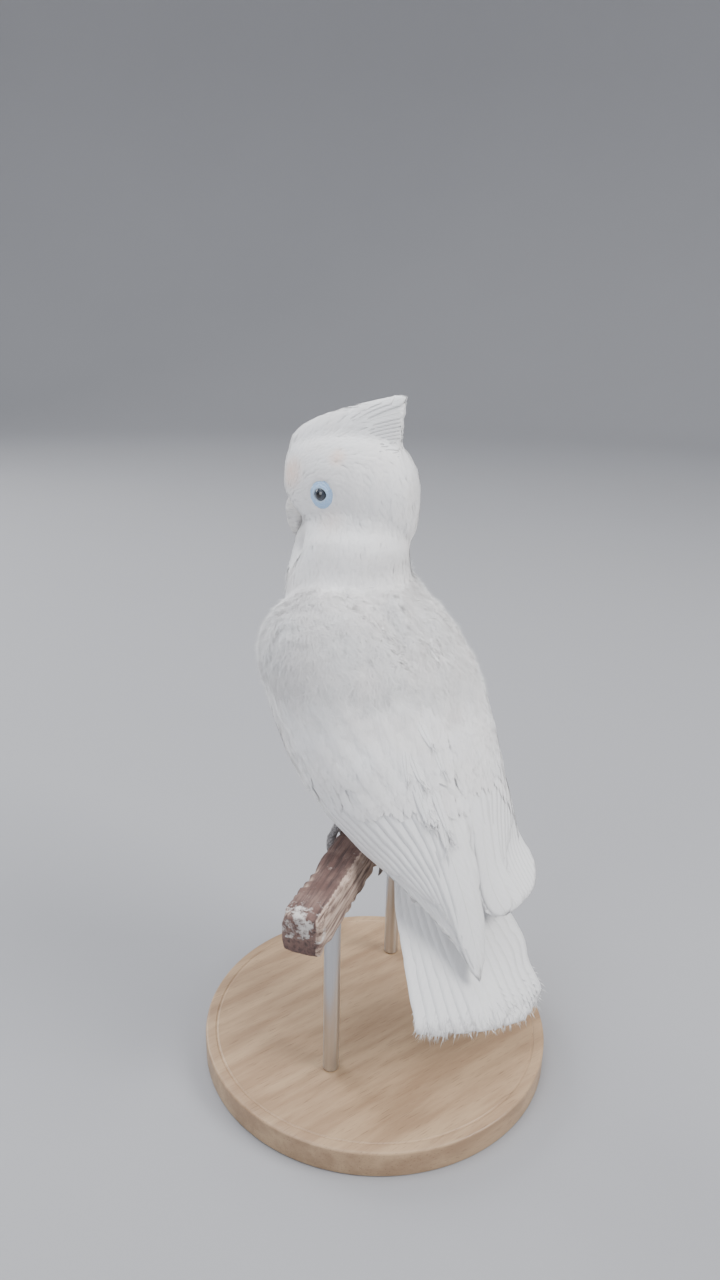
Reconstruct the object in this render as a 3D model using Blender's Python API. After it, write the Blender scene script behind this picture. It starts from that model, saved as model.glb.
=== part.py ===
"""A small white cockatoo, life size, as a still museum model.

The bird stands on a short cut length of squared timber that runs from its front right
to its back left, with its head turned to the left and its crest half raised. Two rods
and a flat round base hold the timber, so that the tail hangs clear.

Frame: +Z up, the origin under the middle of the base, the bird faces -Y and its left
side is +X. The body's own tables are in millimetres from BODY_ORIGIN, a point 10 mm
over the place between the feet on the timber's top face.
"""

import math

import bmesh
import bpy
import numpy as np
from mathutils import Matrix, Vector

MM = 0.001
GAP = 0.35 * MM

# Stand and perch
BASE_RADIUS = 90 * MM
BASE_THICKNESS = 14 * MM
BASE_BEVEL = 2.5 * MM
ROD_RADIUS = 4 * MM
ROD_PLACES = (-41, 58)
FOOT_MIDDLE = Vector((-8 * MM, -16 * MM, 130 * MM))
PERCH_TURN = math.radians(33)
PERCH_ENDS = (-52, 98)
PERCH_WIDTH = 19 * MM
PERCH_HEIGHT = 20 * MM
PERCH_BEVEL = 2 * MM

# Body
BODY_ORIGIN = FOOT_MIDDLE + Vector((0, 0, 10 * MM))
SIDE = Vector((1, 0, 0))
LEAN_START = 70
LEAN = 0.09
BODY_SIDES = 32
NECK_SPLIT = 0.72
# back (y), height (z), half width, depth to the back, depth to the belly
BODY_ROWS = (
    (45, -27, 7, 4, 4),
    (38, -8, 21, 14, 10),
    (26, 17, 33, 25, 17),
    (9, 42, 41, 33, 31),
    (-7, 68, 44, 36, 42),
    (-16, 88, 42, 34, 43),
    (-22, 104, 34, 30, 37),
    (-26, 118, 30, 33, 31),
    (-28, 131, 27, 32, 27),
    (-29, 143, 17, 20, 17),
)

# Head, in its own frame: forward, left, up from its middle
HEAD_CENTRE = (-3, -29, 152)
HEAD_TURN = math.radians(33)
HEAD_NOD = math.radians(3)
HEAD_SIDES = 28
# forward, half width, top, bottom
HEAD_ROWS = (
    (-33, 7, 3, 13),
    (-30.5, 14, 14, 25),
    (-22, 20, 24, 30),
    (-9, 23.5, 28, 31),
    (5, 22.5, 29, 31),
    (16, 19.5, 27, 26),
    (24, 15.5, 25, 15),
    (29, 11, 21, 4),
    (32, 6, 15, 1),
)
# height, front, back, half thickness
CREST_ROWS = (
    (12, 30, -26, 13),
    (21, 31, -27.5, 11),
    (28.5, 26, -29, 8.5),
    (34.5, 14, -30.5, 6),
    (39, -2, -31.5, 4),
    (42.5, -17, -32.5, 2),
    (44.5, -28, -33, 0.8),
)

# Bill: a hook on an arc in the head's middle plane
BILL_ARC_CENTRE = (14.5, -15.5)
BILL_ARC_RADIUS = 15
# angle from forward, half width, depth outwards, depth inwards
BILL_ROWS = (
    (112, 9, 5, 9),
    (82, 9, 5.4, 9),
    (52, 8.2, 5.2, 8.5),
    (22, 6.8, 4.8, 7),
    (-8, 4.6, 4, 5),
    (-36, 2.3, 2.6, 3),
    (-60, 0.6, 0.8, 0.9),
)
# forward, height, half width, depth up, depth down
LOWER_BILL_ROWS = (
    (7, -22.5, 7, 5, 6),
    (13, -25, 7.2, 5, 6),
    (18, -25.5, 6.6, 5, 5.5),
    (21.5, -23.5, 4.8, 3.4, 3.6),
    (23, -20.5, 2.2, 1.4, 1.4),
)

EYE_PLACE = (7, 22.4, 0.8)
EYE_RADIUS = 4.8 * MM
EYE_DEPTH = 3.6 * MM
EYE_RING_SEAT = 3 * MM
EYE_RING_OUTER = 6.4 * MM
EYE_RING_HOLE = 1.3 * MM
EYE_RING_THICKNESS = 1.6 * MM

# Folded wings: curved plates on envelopes round the body
# back, height, half width, depth to the back, lowest angle, highest angle, thickness
LEFT_WING_ROWS = (
    (-23, 108, 33, 29, 0, 38, 6),
    (-19, 98, 47, 36, -35, 55, 12),
    (-13, 84, 55, 41, -48, 70, 15),
    (1, 55, 55, 42, -42, 82, 13),
    (17, 29, 53, 38, -26, 86, 12),
    (33, 3, 46, 31, 0, 88, 9),
    (48, -22, 38, 22, 26, 88, 5.5),
    (61, -51, 24, 13, 50, 88, 4),
    (70, -76, 16, 8, 68, 88, 3),
)
RIGHT_WING_ROWS = (
    (-22, 104, 26, 27, 0, 38, 6),
    (-18, 94, 36, 35, -35, 55, 12),
    (-12, 80, 46, 40, -48, 70, 14),
    (1, 55, 55, 41, -42, 82, 13),
    (17, 29, 55, 37, -26, 86, 12),
    (33, 3, 52, 29, -4, 87, 9),
    (46, -20, 52, 20, 10, 86, 6),
    (56, -42, 54, 14, 22, 84, 4.5),
    (61, -56, 52, 10, 32, 80, 3),
)
WING_ARC_POINTS = 10

# Tail: an arched plate
# back, height, half width, thickness, arch
TAIL_ROWS = (
    (30, 12, 14, 4, 1),
    (42, -14, 20, 4, 2),
    (54, -40, 31, 3.6, 3),
    (66, -66, 40, 3.2, 4),
    (77, -88, 43, 2.8, 5),
    (80, -95, 40, 2.2, 5),
    (82, -99, 33, 1.4, 4),
)
TAIL_SLANT = math.radians(14)
TAIL_HALF_POINTS = 6

# Legs and feet
FOOT_OFFSET = 17
THIGH_TOP = (20, -8, 36)
THIGH_RADII = (19, 18, 15.5, 12, 8.5)
SHANK_RADIUS = 3.4 * MM
TOE_RADIUS = 3.1
# name, splay along the perch at the tip (outwards), front or back, length over the edge
TOES = (
    ("inner_front", -7.5, -1, 8),
    ("outer_front", 8, -1, 13),
    ("inner_back", -7.5, 1, 6),
    ("outer_back", 8, 1, 12),
)
CLAW_LENGTH = 9
CLAW_BEND = 1.6


def flow(rows, t):
    """The row at t, from 0 to 1, on a smooth curve through the given rows."""
    table = np.array(rows, float)
    ends = np.vstack([2 * table[0] - table[1], table, 2 * table[-1] - table[-2]])
    place = min(max(t, 0.0), 1.0) * (len(table) - 1)
    k = min(int(place), len(table) - 2)
    u = place - k
    a, b, c, d = ends[k : k + 4]
    curve = (2 * a - 5 * b + 4 * c - d) * u**2 + (3 * b - a - 3 * c + d) * u**3
    return 0.5 * (2 * b + (c - a) * u + curve)


def material(name, colour, roughness=0.6, metallic=0.0):
    made = bpy.data.materials.get(name) or bpy.data.materials.new(name)
    made.use_nodes = True
    shader = made.node_tree.nodes["Principled BSDF"]
    shader.inputs["Base Color"].default_value = (*colour, 1)
    shader.inputs["Roughness"].default_value = roughness
    shader.inputs["Metallic"].default_value = metallic
    return made


def plumage():
    return material("plumage", (0.86, 0.86, 0.84), 0.8)


def horn():
    return material("horn", (0.72, 0.70, 0.66), 0.45)


def scaly_skin():
    return material("scaly_skin", (0.32, 0.32, 0.34), 0.6)


def bare_skin():
    return material("bare_skin", (0.55, 0.68, 0.80), 0.6)


def wet_eye():
    return material("wet_eye", (0.03, 0.035, 0.045), 0.1)


def timber():
    return material("timber", (0.20, 0.11, 0.08), 0.75)


def stand_board():
    return material("stand_board", (0.05, 0.05, 0.05), 0.5)


def stand_steel():
    return material("stand_steel", (0.45, 0.45, 0.46), 0.35, 1.0)


def object_of(name, mesh, finish, smooth=True):
    made = bpy.data.objects.new(name, mesh)
    bpy.context.scene.collection.objects.link(made)
    mesh.materials.append(finish)
    if smooth:
        mesh.shade_smooth()
    return made


def loft(name, rings, finish):
    """A closed solid through rings of equal point counts, with flat ends."""
    shape = bmesh.new()
    loops = [[shape.verts.new(p) for p in ring] for ring in rings]
    count = len(loops[0])
    for first, second in zip(loops, loops[1:]):
        for k in range(count):
            m = (k + 1) % count
            shape.faces.new((first[k], first[m], second[m], second[k]))
    shape.faces.new(loops[0])
    shape.faces.new(loops[-1])
    bmesh.ops.recalc_face_normals(shape, faces=shape.faces)
    mesh = bpy.data.meshes.new(name)
    shape.to_mesh(mesh)
    shape.free()
    return object_of(name, mesh, finish)


def section(centre, side, up, half_width, rise, drop, sides):
    """An egg-shaped ring: rise is its depth along up, drop its depth the other way."""
    ring = []
    for k in range(sides):
        angle = 2 * math.pi * k / sides
        depth = rise if math.sin(angle) > 0 else drop
        ring.append(centre + side * (half_width * math.cos(angle)) + up * (depth * math.sin(angle)))
    return ring


def cut(target, *cutters):
    """Takes the cutters away from the target, and hides them as helpers."""
    for cutter in cutters:
        cutter.hide_render = True
        cutter.display_type = "WIRE"
        step = target.modifiers.new("cut_" + cutter.name, "BOOLEAN")
        step.operation = "DIFFERENCE"
        step.solver = "EXACT"
        step.object = cutter


# Body, neck and head ---------------------------------------------------------


def body_place(back, height):
    """A place in the body's middle plane, which leans to the right below LEAN_START."""
    below = max(0.0, LEAN_START - height)
    return BODY_ORIGIN + Vector((-LEAN * below**2 / (below + 30), back, height)) * MM


def spine_frame(rows, t):
    """The place of the curve at t, the direction across it to the back, and the one along it."""
    step = 0.02
    back, height = flow(rows, t)[:2]
    ahead, behind = flow(rows, t + step), flow(rows, t - step)
    along = Vector((0, ahead[0] - behind[0], ahead[1] - behind[1])).normalized()
    turn = 1 if along.z > 0 else -1
    return body_place(back, height), Vector((0, along.z, -along.y)) * turn, along


def body_ring(t, grow=0.0):
    centre, up, _ = spine_frame(BODY_ROWS, t)
    width, rise, drop = (value * MM + grow for value in flow(BODY_ROWS, t)[2:])
    return section(centre, SIDE, up, width, rise, drop, BODY_SIDES)


def body_form(name, start, end, grow=0.0, rings=13):
    steps = [start + (end - start) * k / (rings - 1) for k in range(rings)]
    made = [body_ring(t, grow) for t in steps]
    made[0] = [p - spine_frame(BODY_ROWS, start)[2] * grow for p in made[0]]
    made[-1] = [p + spine_frame(BODY_ROWS, end)[2] * grow for p in made[-1]]
    return loft(name, made, plumage())


def head_frame():
    """The matrix from the head's own frame, forward, left and up, to the model's."""
    turn = Matrix.Rotation(HEAD_TURN, 4, "Z")
    nod = Matrix.Rotation(HEAD_NOD, 4, "X")
    axes = Matrix(((0, 1, 0, 0), (-1, 0, 0, 0), (0, 0, 1, 0), (0, 0, 0, 1)))
    return Matrix.Translation(BODY_ORIGIN + Vector(HEAD_CENTRE) * MM) @ turn @ nod @ axes


def head_place(forward, left, up):
    return head_frame() @ (Vector((forward, left, up)) * MM)


def head_way(forward, left, up):
    return (head_frame().to_3x3() @ Vector((forward, left, up))).normalized()


def head_form(name, grow=0.0, rings=12):
    left, up, ahead = head_way(0, 1, 0), head_way(0, 0, 1), head_way(1, 0, 0)
    made = []
    for k in range(rings):
        forward, width, top, bottom = flow(HEAD_ROWS, k / (rings - 1))
        width, top, bottom = (size * MM + grow for size in (width, top, bottom))
        made.append(section(head_place(forward, 0, 0), left, up, width, top, bottom, HEAD_SIDES))
    made[0] = [p - ahead * grow for p in made[0]]
    made[-1] = [p + ahead * grow for p in made[-1]]
    return loft(name, made, plumage())


def crest(rings=9):
    left, ahead = head_way(0, 1, 0), head_way(1, 0, 0)
    made = []
    for k in range(rings):
        height, front, back, thick = flow(CREST_ROWS, k / (rings - 1))
        centre = head_place((front + back) / 2, 0, height)
        half = (front - back) / 2 * MM
        made.append(section(centre, left, ahead, thick * MM, half, half, 18))
    form = loft("crest", made, plumage())
    cut(form, head_form("head_for_crest", GAP))
    return form


def upper_bill_form(name, grow=0.0, rings=10):
    left = head_way(0, 1, 0)
    made = []
    for k in range(rings):
        angle, width, outwards, inwards = flow(BILL_ROWS, k / (rings - 1))
        angle = math.radians(angle)
        ray = head_way(math.cos(angle), 0, math.sin(angle))
        middle = head_place(BILL_ARC_CENTRE[0], 0, BILL_ARC_CENTRE[1]) + ray * (BILL_ARC_RADIUS * MM)
        width, outwards, inwards = (size * MM + grow for size in (width, outwards, inwards))
        made.append(section(middle, left, ray, width, outwards, inwards, 16))
    return loft(name, made, horn())


def lower_bill_form(name, grow=0.0, rings=6):
    left = head_way(0, 1, 0)
    made = []
    for k in range(rings):
        forward, height, width, rise, drop = flow(LOWER_BILL_ROWS, k / (rings - 1))
        lean = math.radians(20 + 35 * k / (rings - 1))
        up = head_way(-math.sin(lean), 0, math.cos(lean))
        width, rise, drop = (size * MM + grow for size in (width, rise, drop))
        made.append(section(head_place(forward, 0, height), left, up, width, rise, drop, 16))
    return loft(name, made, horn())


def ball(name, centre, radius, finish, rings=8, sides=14):
    made = []
    for k in range(1, rings):
        angle = math.pi * k / rings
        level = centre + Vector((0, 0, -radius * math.cos(angle)))
        width = radius * math.sin(angle)
        made.append(section(level, Vector((1, 0, 0)), Vector((0, 1, 0)), width, width, width, sides))
    return loft(name, made, finish)


def washer(name, centre, axis, outer, thickness, sides=20):
    """A flat ring with a small hole and a rounded outer edge, turned about the axis."""
    inner = EYE_RING_HOLE
    profile = (
        (inner, -thickness / 2),
        (outer * 0.94, -thickness / 2),
        (outer, 0.0),
        (outer * 0.94, thickness * 0.3),
        ((inner + outer) / 2, thickness / 2),
        (inner, thickness * 0.4),
    )
    turn = axis.to_track_quat("Z", "Y").to_matrix()
    shape = bmesh.new()
    loops = []
    for k in range(sides):
        angle = 2 * math.pi * k / sides
        ray = Vector((math.cos(angle), math.sin(angle), 0))
        loops.append([shape.verts.new(centre + turn @ (ray * r + Vector((0, 0, h)))) for r, h in profile])
    for k in range(sides):
        first, second = loops[k], loops[(k + 1) % sides]
        for m in range(len(profile)):
            n = (m + 1) % len(profile)
            shape.faces.new((first[m], second[m], second[n], first[n]))
    bmesh.ops.recalc_face_normals(shape, faces=shape.faces)
    mesh = bpy.data.meshes.new(name)
    shape.to_mesh(mesh)
    shape.free()
    return object_of(name, mesh, bare_skin())


def eye_axis(hand):
    """The way that an eye looks: outwards, a little forward and up."""
    return head_way(0.2, hand, 0.04)


def eye_centre(hand):
    forward, left, up = EYE_PLACE
    return head_place(forward, left * hand, up) - eye_axis(hand) * EYE_DEPTH


def eyes(head):
    for word, hand in (("left", 1), ("right", -1)):
        centre, axis = eye_centre(hand), eye_axis(hand)
        seat = centre + axis * EYE_RING_SEAT
        ball("eye_" + word, centre, EYE_RADIUS, wet_eye())
        ring = washer("eye_ring_" + word, seat, axis, EYE_RING_OUTER, EYE_RING_THICKNESS)
        socket = ball("socket_" + word, centre, EYE_RADIUS + GAP, wet_eye())
        pocket = washer("pocket_" + word, seat, axis, EYE_RING_OUTER + GAP, EYE_RING_THICKNESS + 2 * GAP)
        cut(ring, socket)
        cut(head, pocket, socket)


# Wings and tail --------------------------------------------------------------


def wing_ring(rows, t, hand):
    centre, up, _ = spine_frame(rows, t)
    width, rise, lowest, highest, thickness = flow(rows, t)[2:]
    outer, inner = [], []
    for k in range(WING_ARC_POINTS):
        share = k / (WING_ARC_POINTS - 1)
        angle = math.radians(lowest + (highest - lowest) * share)
        edge = abs(2 * share - 1) ** 4
        ray = SIDE * (hand * width * math.cos(angle)) + up * (rise * math.sin(angle))
        skin = centre + ray * MM
        inwards = ray.normalized() * (thickness * (1 - 0.7 * edge) * MM)
        outer.append(skin)
        inner.append(skin - inwards)
    return outer + inner[::-1]


def wing(word, hand, tail_cutter, body_cutter, rings=15):
    rows = LEFT_WING_ROWS if hand > 0 else RIGHT_WING_ROWS
    made = [wing_ring(rows, k / (rings - 1), hand) for k in range(rings)]
    form = loft("wing_" + word, made, plumage())
    cut(form, body_cutter, tail_cutter)
    return form


def tail_form(name, grow=0.0, rings=10):
    made = []
    for k in range(rings):
        t = k / (rings - 1)
        centre, up, along = spine_frame(TAIL_ROWS, t)
        width, thickness, arch = flow(TAIL_ROWS, t)[2:]
        across = SIDE * math.cos(TAIL_SLANT) - along * math.sin(TAIL_SLANT)
        top, under = [], []
        for m in range(-TAIL_HALF_POINTS, TAIL_HALF_POINTS + 1):
            share = m / TAIL_HALF_POINTS
            place = centre + across * (share * (width * MM + grow)) - up * (arch * share**2 * MM)
            half = (thickness / 2 * (1 - 0.6 * share**4)) * MM + grow
            top.append(place + up * half)
            under.append(place - up * half)
        made.append(top + under[::-1])
    made[0] = [p - spine_frame(TAIL_ROWS, 0)[2] * grow for p in made[0]]
    made[-1] = [p + spine_frame(TAIL_ROWS, 1)[2] * grow for p in made[-1]]
    return loft(name, made, plumage())


# Legs, perch and stand -------------------------------------------------------


def perch_frame():
    """The matrix from the timber's own frame, along, across and out of its top, to the model's."""
    return Matrix.Translation(FOOT_MIDDLE) @ Matrix.Rotation(PERCH_TURN, 4, "Z")


def perch_place(along, across, out):
    return perch_frame() @ (Vector((along, across, out)) * MM)


def perch():
    """Squared timber with worn edges."""
    start, end = (place * MM for place in PERCH_ENDS)
    size = Vector((end - start, PERCH_WIDTH, PERCH_HEIGHT))
    middle = perch_frame() @ Matrix.Translation(Vector(((start + end) / 2, 0, -PERCH_HEIGHT / 2)))
    shape = bmesh.new()
    bmesh.ops.create_cube(shape, size=1)
    bmesh.ops.scale(shape, vec=size, verts=shape.verts)
    bmesh.ops.bevel(shape, geom=shape.edges[:], offset=PERCH_BEVEL, segments=2, affect="EDGES", profile=0.5)
    bmesh.ops.transform(shape, matrix=middle, verts=shape.verts)
    mesh = bpy.data.meshes.new("perch")
    shape.to_mesh(mesh)
    shape.free()
    object_of("perch", mesh, timber(), smooth=False)


def tube(name, points, radii, finish, sides=12):
    """A closed tube through points, in metres, with a radius at each in metres."""
    made = []
    for k, point in enumerate(points):
        ahead = points[min(k + 1, len(points) - 1)]
        behind = points[max(k - 1, 0)]
        along = (ahead - behind).normalized()
        across = Vector((0.3, 0.2, 1)) if abs(along.z) < 0.9 else Vector((0, 1, 0))
        side = along.cross(across).normalized()
        made.append(section(point, side, side.cross(along), radii[k], radii[k], radii[k], sides))
    return loft(name, made, finish)


def toe_path(foot, splay, way, drop):
    """Points from the middle of the foot, out over the timber's edge and down its side."""
    edge = PERCH_WIDTH / 2 / MM
    lift = TOE_RADIUS + 0.9
    rows = (
        (foot + 0.48 * splay, way * 3.0, lift + 1.5),
        (foot + 0.68 * splay, way * edge * 0.6, lift + 0.8),
        (foot + 0.9 * splay, way * (edge + 0.5), lift - 1.2),
        (foot + splay, way * (edge + lift + 0.3), -drop * 0.45),
        (foot + splay, way * (edge + lift + 0.3), -drop),
    )
    return [perch_place(*flow(rows, k / 7)) for k in range(8)]


def toe_and_claw(name, foot, splay, way, drop):
    path = toe_path(foot, splay, way, drop)
    radii = [TOE_RADIUS * MM * (1.0 - 0.22 * k / (len(path) - 1)) for k in range(len(path))]
    tube("toe_" + name, path, radii, scaly_skin(), 8)
    along = (path[-1] - path[-2]).normalized()
    inwards = (perch_place(foot + splay, 0, -drop) - path[-1]).normalized()
    points, widths = [], []
    for k in range(5):
        share = k / 4
        reach = share * CLAW_LENGTH * MM
        points.append(path[-1] + along * (GAP + reach) + inwards * (CLAW_BEND * share**2 * MM))
        widths.append((2.0 * (1 - share) ** 0.8 + 0.3) * MM)
    tube("claw_" + name, points, widths, horn(), 6)


def leg(word, hand, body_cutter):
    foot = hand * FOOT_OFFSET
    ankle = perch_place(foot, 2, 17)
    knee_x, knee_y, knee_z = THIGH_TOP
    hip = body_place(knee_y, knee_z) + SIDE * (hand * knee_x * MM)
    thigh_path = [hip.lerp(ankle, share) for share in (0, 0.25, 0.5, 0.75, 1)]
    thigh_radii = [r * MM for r in THIGH_RADII]
    thigh = tube("thigh_" + word, thigh_path, thigh_radii, plumage(), 16)
    sole = perch_place(foot, 0, TOE_RADIUS * 2 + 2.9)
    shank_path = [ankle.lerp(sole, share) for share in (0.05, 0.5, 1)]
    tube("shank_" + word, shank_path, [SHANK_RADIUS] * 3, scaly_skin(), 12)
    sheath = tube("sheath_" + word, shank_path, [SHANK_RADIUS + GAP] * 3, scaly_skin(), 12)
    cut(thigh, body_cutter, sheath)
    for name, splay, way, drop in TOES:
        toe_and_claw(word + "_" + name, foot, splay * hand, way, drop)


def stand():
    shape = bmesh.new()
    bmesh.ops.create_cone(
        shape, cap_ends=True, segments=64, radius1=BASE_RADIUS, radius2=BASE_RADIUS, depth=BASE_THICKNESS
    )
    rim = [e for e in shape.edges if all(v.co.z > 0 for v in e.verts)]
    bmesh.ops.bevel(shape, geom=rim, offset=BASE_BEVEL, segments=2, affect="EDGES", profile=0.5)
    bmesh.ops.translate(shape, vec=Vector((0, 0, BASE_THICKNESS / 2)), verts=shape.verts)
    mesh = bpy.data.meshes.new("stand_base")
    shape.to_mesh(mesh)
    shape.free()
    object_of("stand_base", mesh, stand_board(), smooth=False)
    for number, along in enumerate(ROD_PLACES, 1):
        top = perch_place(along, 0, 0) - Vector((0, 0, PERCH_HEIGHT + GAP))
        foot = Vector((top.x, top.y, BASE_THICKNESS + GAP))
        tube("stand_rod_%d" % number, [foot, top], [ROD_RADIUS] * 2, stand_steel(), 20)


def bird():
    trunk_cutter = body_form("body_for_wings", 0.0, 1.0, GAP, 17)
    tail_cutter = tail_form("tail_for_wings", GAP)
    body_form("trunk", 0.0, NECK_SPLIT)
    neck = body_form("neck", NECK_SPLIT + 0.003, 1.0, rings=6)
    head = head_form("head")
    crest()
    head_cutter = head_form("head_cutter", GAP)
    upper = upper_bill_form("bill_upper")
    upper_cutter = upper_bill_form("bill_cutter", GAP)
    lower = lower_bill_form("bill_lower")
    cut(upper, head_cutter)
    cut(lower, head_cutter, upper_cutter)
    cut(neck, head_cutter, upper_cutter, lower_bill_form("lower_bill_cutter", GAP))
    eyes(head)
    tail = tail_form("tail")
    cut(tail, trunk_cutter)
    for word, hand in (("left", 1), ("right", -1)):
        wing(word, hand, tail_cutter, trunk_cutter)
        leg(word, hand, trunk_cutter)


def main():
    for old in list(bpy.data.objects):
        bpy.data.objects.remove(old)
    bird()
    perch()
    stand()


main()
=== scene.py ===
"""A white cockatoo on a short perch: skin, plumage, eyes, bill, timber, stand and stage."""

import math

import bpy
import numpy as np
from mathutils import Matrix, Vector, noise
from mathutils.bvhtree import BVHTree


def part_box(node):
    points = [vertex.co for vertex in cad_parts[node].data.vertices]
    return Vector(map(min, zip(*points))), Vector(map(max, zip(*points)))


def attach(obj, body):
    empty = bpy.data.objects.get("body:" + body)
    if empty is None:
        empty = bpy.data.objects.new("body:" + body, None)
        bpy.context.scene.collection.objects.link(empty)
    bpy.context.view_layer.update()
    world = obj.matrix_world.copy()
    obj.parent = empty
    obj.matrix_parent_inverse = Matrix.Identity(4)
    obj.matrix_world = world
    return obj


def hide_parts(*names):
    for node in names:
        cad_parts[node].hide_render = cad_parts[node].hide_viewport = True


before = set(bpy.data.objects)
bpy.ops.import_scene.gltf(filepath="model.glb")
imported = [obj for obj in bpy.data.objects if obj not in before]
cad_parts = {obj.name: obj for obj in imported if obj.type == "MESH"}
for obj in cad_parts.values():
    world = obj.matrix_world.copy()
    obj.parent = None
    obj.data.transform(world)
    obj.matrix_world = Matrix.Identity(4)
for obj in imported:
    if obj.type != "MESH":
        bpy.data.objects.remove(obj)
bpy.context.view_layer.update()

bl_info = {
    "name": "Perched White Cockatoo",
    "version": (1, 0, 0),
    "blender": (4, 5, 0),
    "location": "View3D > Sidebar > Cockatoo",
    "description": "Builds a feathered display cockatoo round its solid frame",
    "category": "Object",
}

MM = 0.001
SIDES = (("left", 1), ("right", -1))
TOES = [f"{hand}_{way}_{end}" for hand in ("left", "right") for way in ("inner", "outer")
        for end in ("back", "front")]
FEET = ["shank_left", "shank_right"] + ["toe_" + toe for toe in TOES]
FLESH = ["head", "crest", "neck", "trunk", "wing_left", "wing_right", "thigh_left", "thigh_right",
         "tail"] + FEET

# ------------------------------------------------------------------ settings


def length(name, description, default):
    return bpy.props.FloatProperty(name=name, description=description, default=default,
                                   unit="LENGTH", subtype="DISTANCE", precision=5)


def colour(name, description, default):
    return bpy.props.FloatVectorProperty(name=name, description=description, default=default,
                                         subtype="COLOR", min=0, max=1, size=3)


class PlumageSettings(bpy.types.PropertyGroup):
    """Sizes and colours of the feathers"""
    face: length("Face feathers", "Length of the feathers round the eye", 4.2 * MM)
    neck: length("Neck feathers", "Length of the feathers of the nape", 13 * MM)
    down: length("Down", "Length of the fluff on back and shoulders", 9 * MM)
    body: length("Body feathers", "Length of the feathers of the breast", 13 * MM)
    white: colour("White", "Colour of a feather at its tip", (0.90, 0.90, 0.905))
    # shade is painted shade: it darkens the roots of the small feathers for the shadow between
    # them, and the skin takes it in random patches.
    shade: colour("Shade", "Colour of a feather near its root", (0.85, 0.84, 0.85))
    peach: colour("Peach", "Tint in front of and above the eye", (0.93, 0.74, 0.64))
    seed: bpy.props.IntProperty(name="Seed", description="Starts every random draw", default=7)


class HeadSettings(bpy.types.PropertyGroup):
    """Sizes and colours of eyes and bill"""
    eye: length("Eye", "Radius of the eyeball", 4.5 * MM)
    ring_blue: colour("Ring blue", "Colour of the bare skin round the eye", (0.34, 0.55, 0.85))
    iris: colour("Iris", "Colour of the iris", (0.020, 0.026, 0.036))
    horn: colour("Horn", "Colour of the bill", (0.70, 0.69, 0.68))


class DisplaySettings(bpy.types.PropertyGroup):
    """Sizes and colours of perch and stand"""
    gnawed: length("Gnawing", "Depth of the bites along the perch's edges", 2.2 * MM)
    bark: colour("Old timber", "Colour of the perch's weathered faces", (0.115, 0.062, 0.052))
    raw: colour("Raw timber", "Colour of gnawed wood", (0.36, 0.24, 0.18))
    board: colour("Board", "Colour of the base", (0.30, 0.19, 0.11))


class StageSettings(bpy.types.PropertyGroup):
    """Floor, light and camera"""
    floor: colour("Floor", "Colour of floor and backdrop", (0.32, 0.32, 0.335))
    light: bpy.props.FloatProperty(name="Light", description="Strength of the softboxes",
                                   default=1.7)
    lens: length("Lens", "Focal length of the camera", 28.125 * MM)


GROUPS = {"plumage": PlumageSettings, "head": HeadSettings, "display": DisplaySettings,
          "stage": StageSettings}


def settings(name):
    return getattr(bpy.context.scene, "cockatoo_" + name)


# ------------------------------------------------------------------ finishes


class Tone:
    """Colours that stay the same whatever the settings say."""
    # chin_shade is a painted shade for the hollow beside and below the bill.
    chin_shade = (0.42, 0.40, 0.44)
    scale_gap = (0.19, 0.18, 0.185)
    scale = (0.31, 0.295, 0.295)
    # vane_root_shade is a painted shade at the roots of the long feathers.
    vane_root_shade = (0.84, 0.84, 0.85)
    vane_streak = (0.86, 0.85, 0.84)
    # vane_groove_shade is a painted shade for the grooves between the barbs.
    vane_groove_shade = (0.62, 0.62, 0.64)
    quill = (0.93, 0.92, 0.89)
    ring_light = (0.50, 0.69, 0.92)
    ring_edge = (0.62, 0.72, 0.82)
    lid_edge = (0.11, 0.13, 0.17)
    iris_fibre = (0.05, 0.062, 0.08)
    pupil = (0.004, 0.004, 0.005)
    iris_rim = (0.012, 0.014, 0.018)
    horn_cloud = (0.74, 0.72, 0.69)
    horn_flake = (0.44, 0.425, 0.43)
    horn_tip = (0.34, 0.31, 0.30)
    cere = (0.66, 0.60, 0.61)
    # nostril is painted shade for the inside of the nostrils' openings.
    nostril = (0.05, 0.04, 0.045)
    claw_dark = (0.05, 0.045, 0.045)
    claw = (0.15, 0.135, 0.13)
    bark_light = (0.20, 0.125, 0.105)
    raw_light = (0.52, 0.40, 0.33)
    grain_gap = (0.05, 0.03, 0.028)
    scuff = (0.50, 0.44, 0.40)
    lime = (0.66, 0.63, 0.60)
    board_light = (0.44, 0.30, 0.18)
    pore = (0.14, 0.08, 0.045)
    steel_dark = (0.50, 0.50, 0.51)
    steel = (0.68, 0.68, 0.69)
    plume_warm = (0.885, 0.868, 0.862)
    sky = (0.86, 0.90, 0.97)


def arithmetic(tree, operation, *values):
    """A Math node over these values."""
    node = tree.nodes.new("ShaderNodeMath")
    node.operation = operation
    for place, value in enumerate(values):
        feed(tree, node.inputs[place], value)
    return Wire(tree, node.outputs[0])


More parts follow.
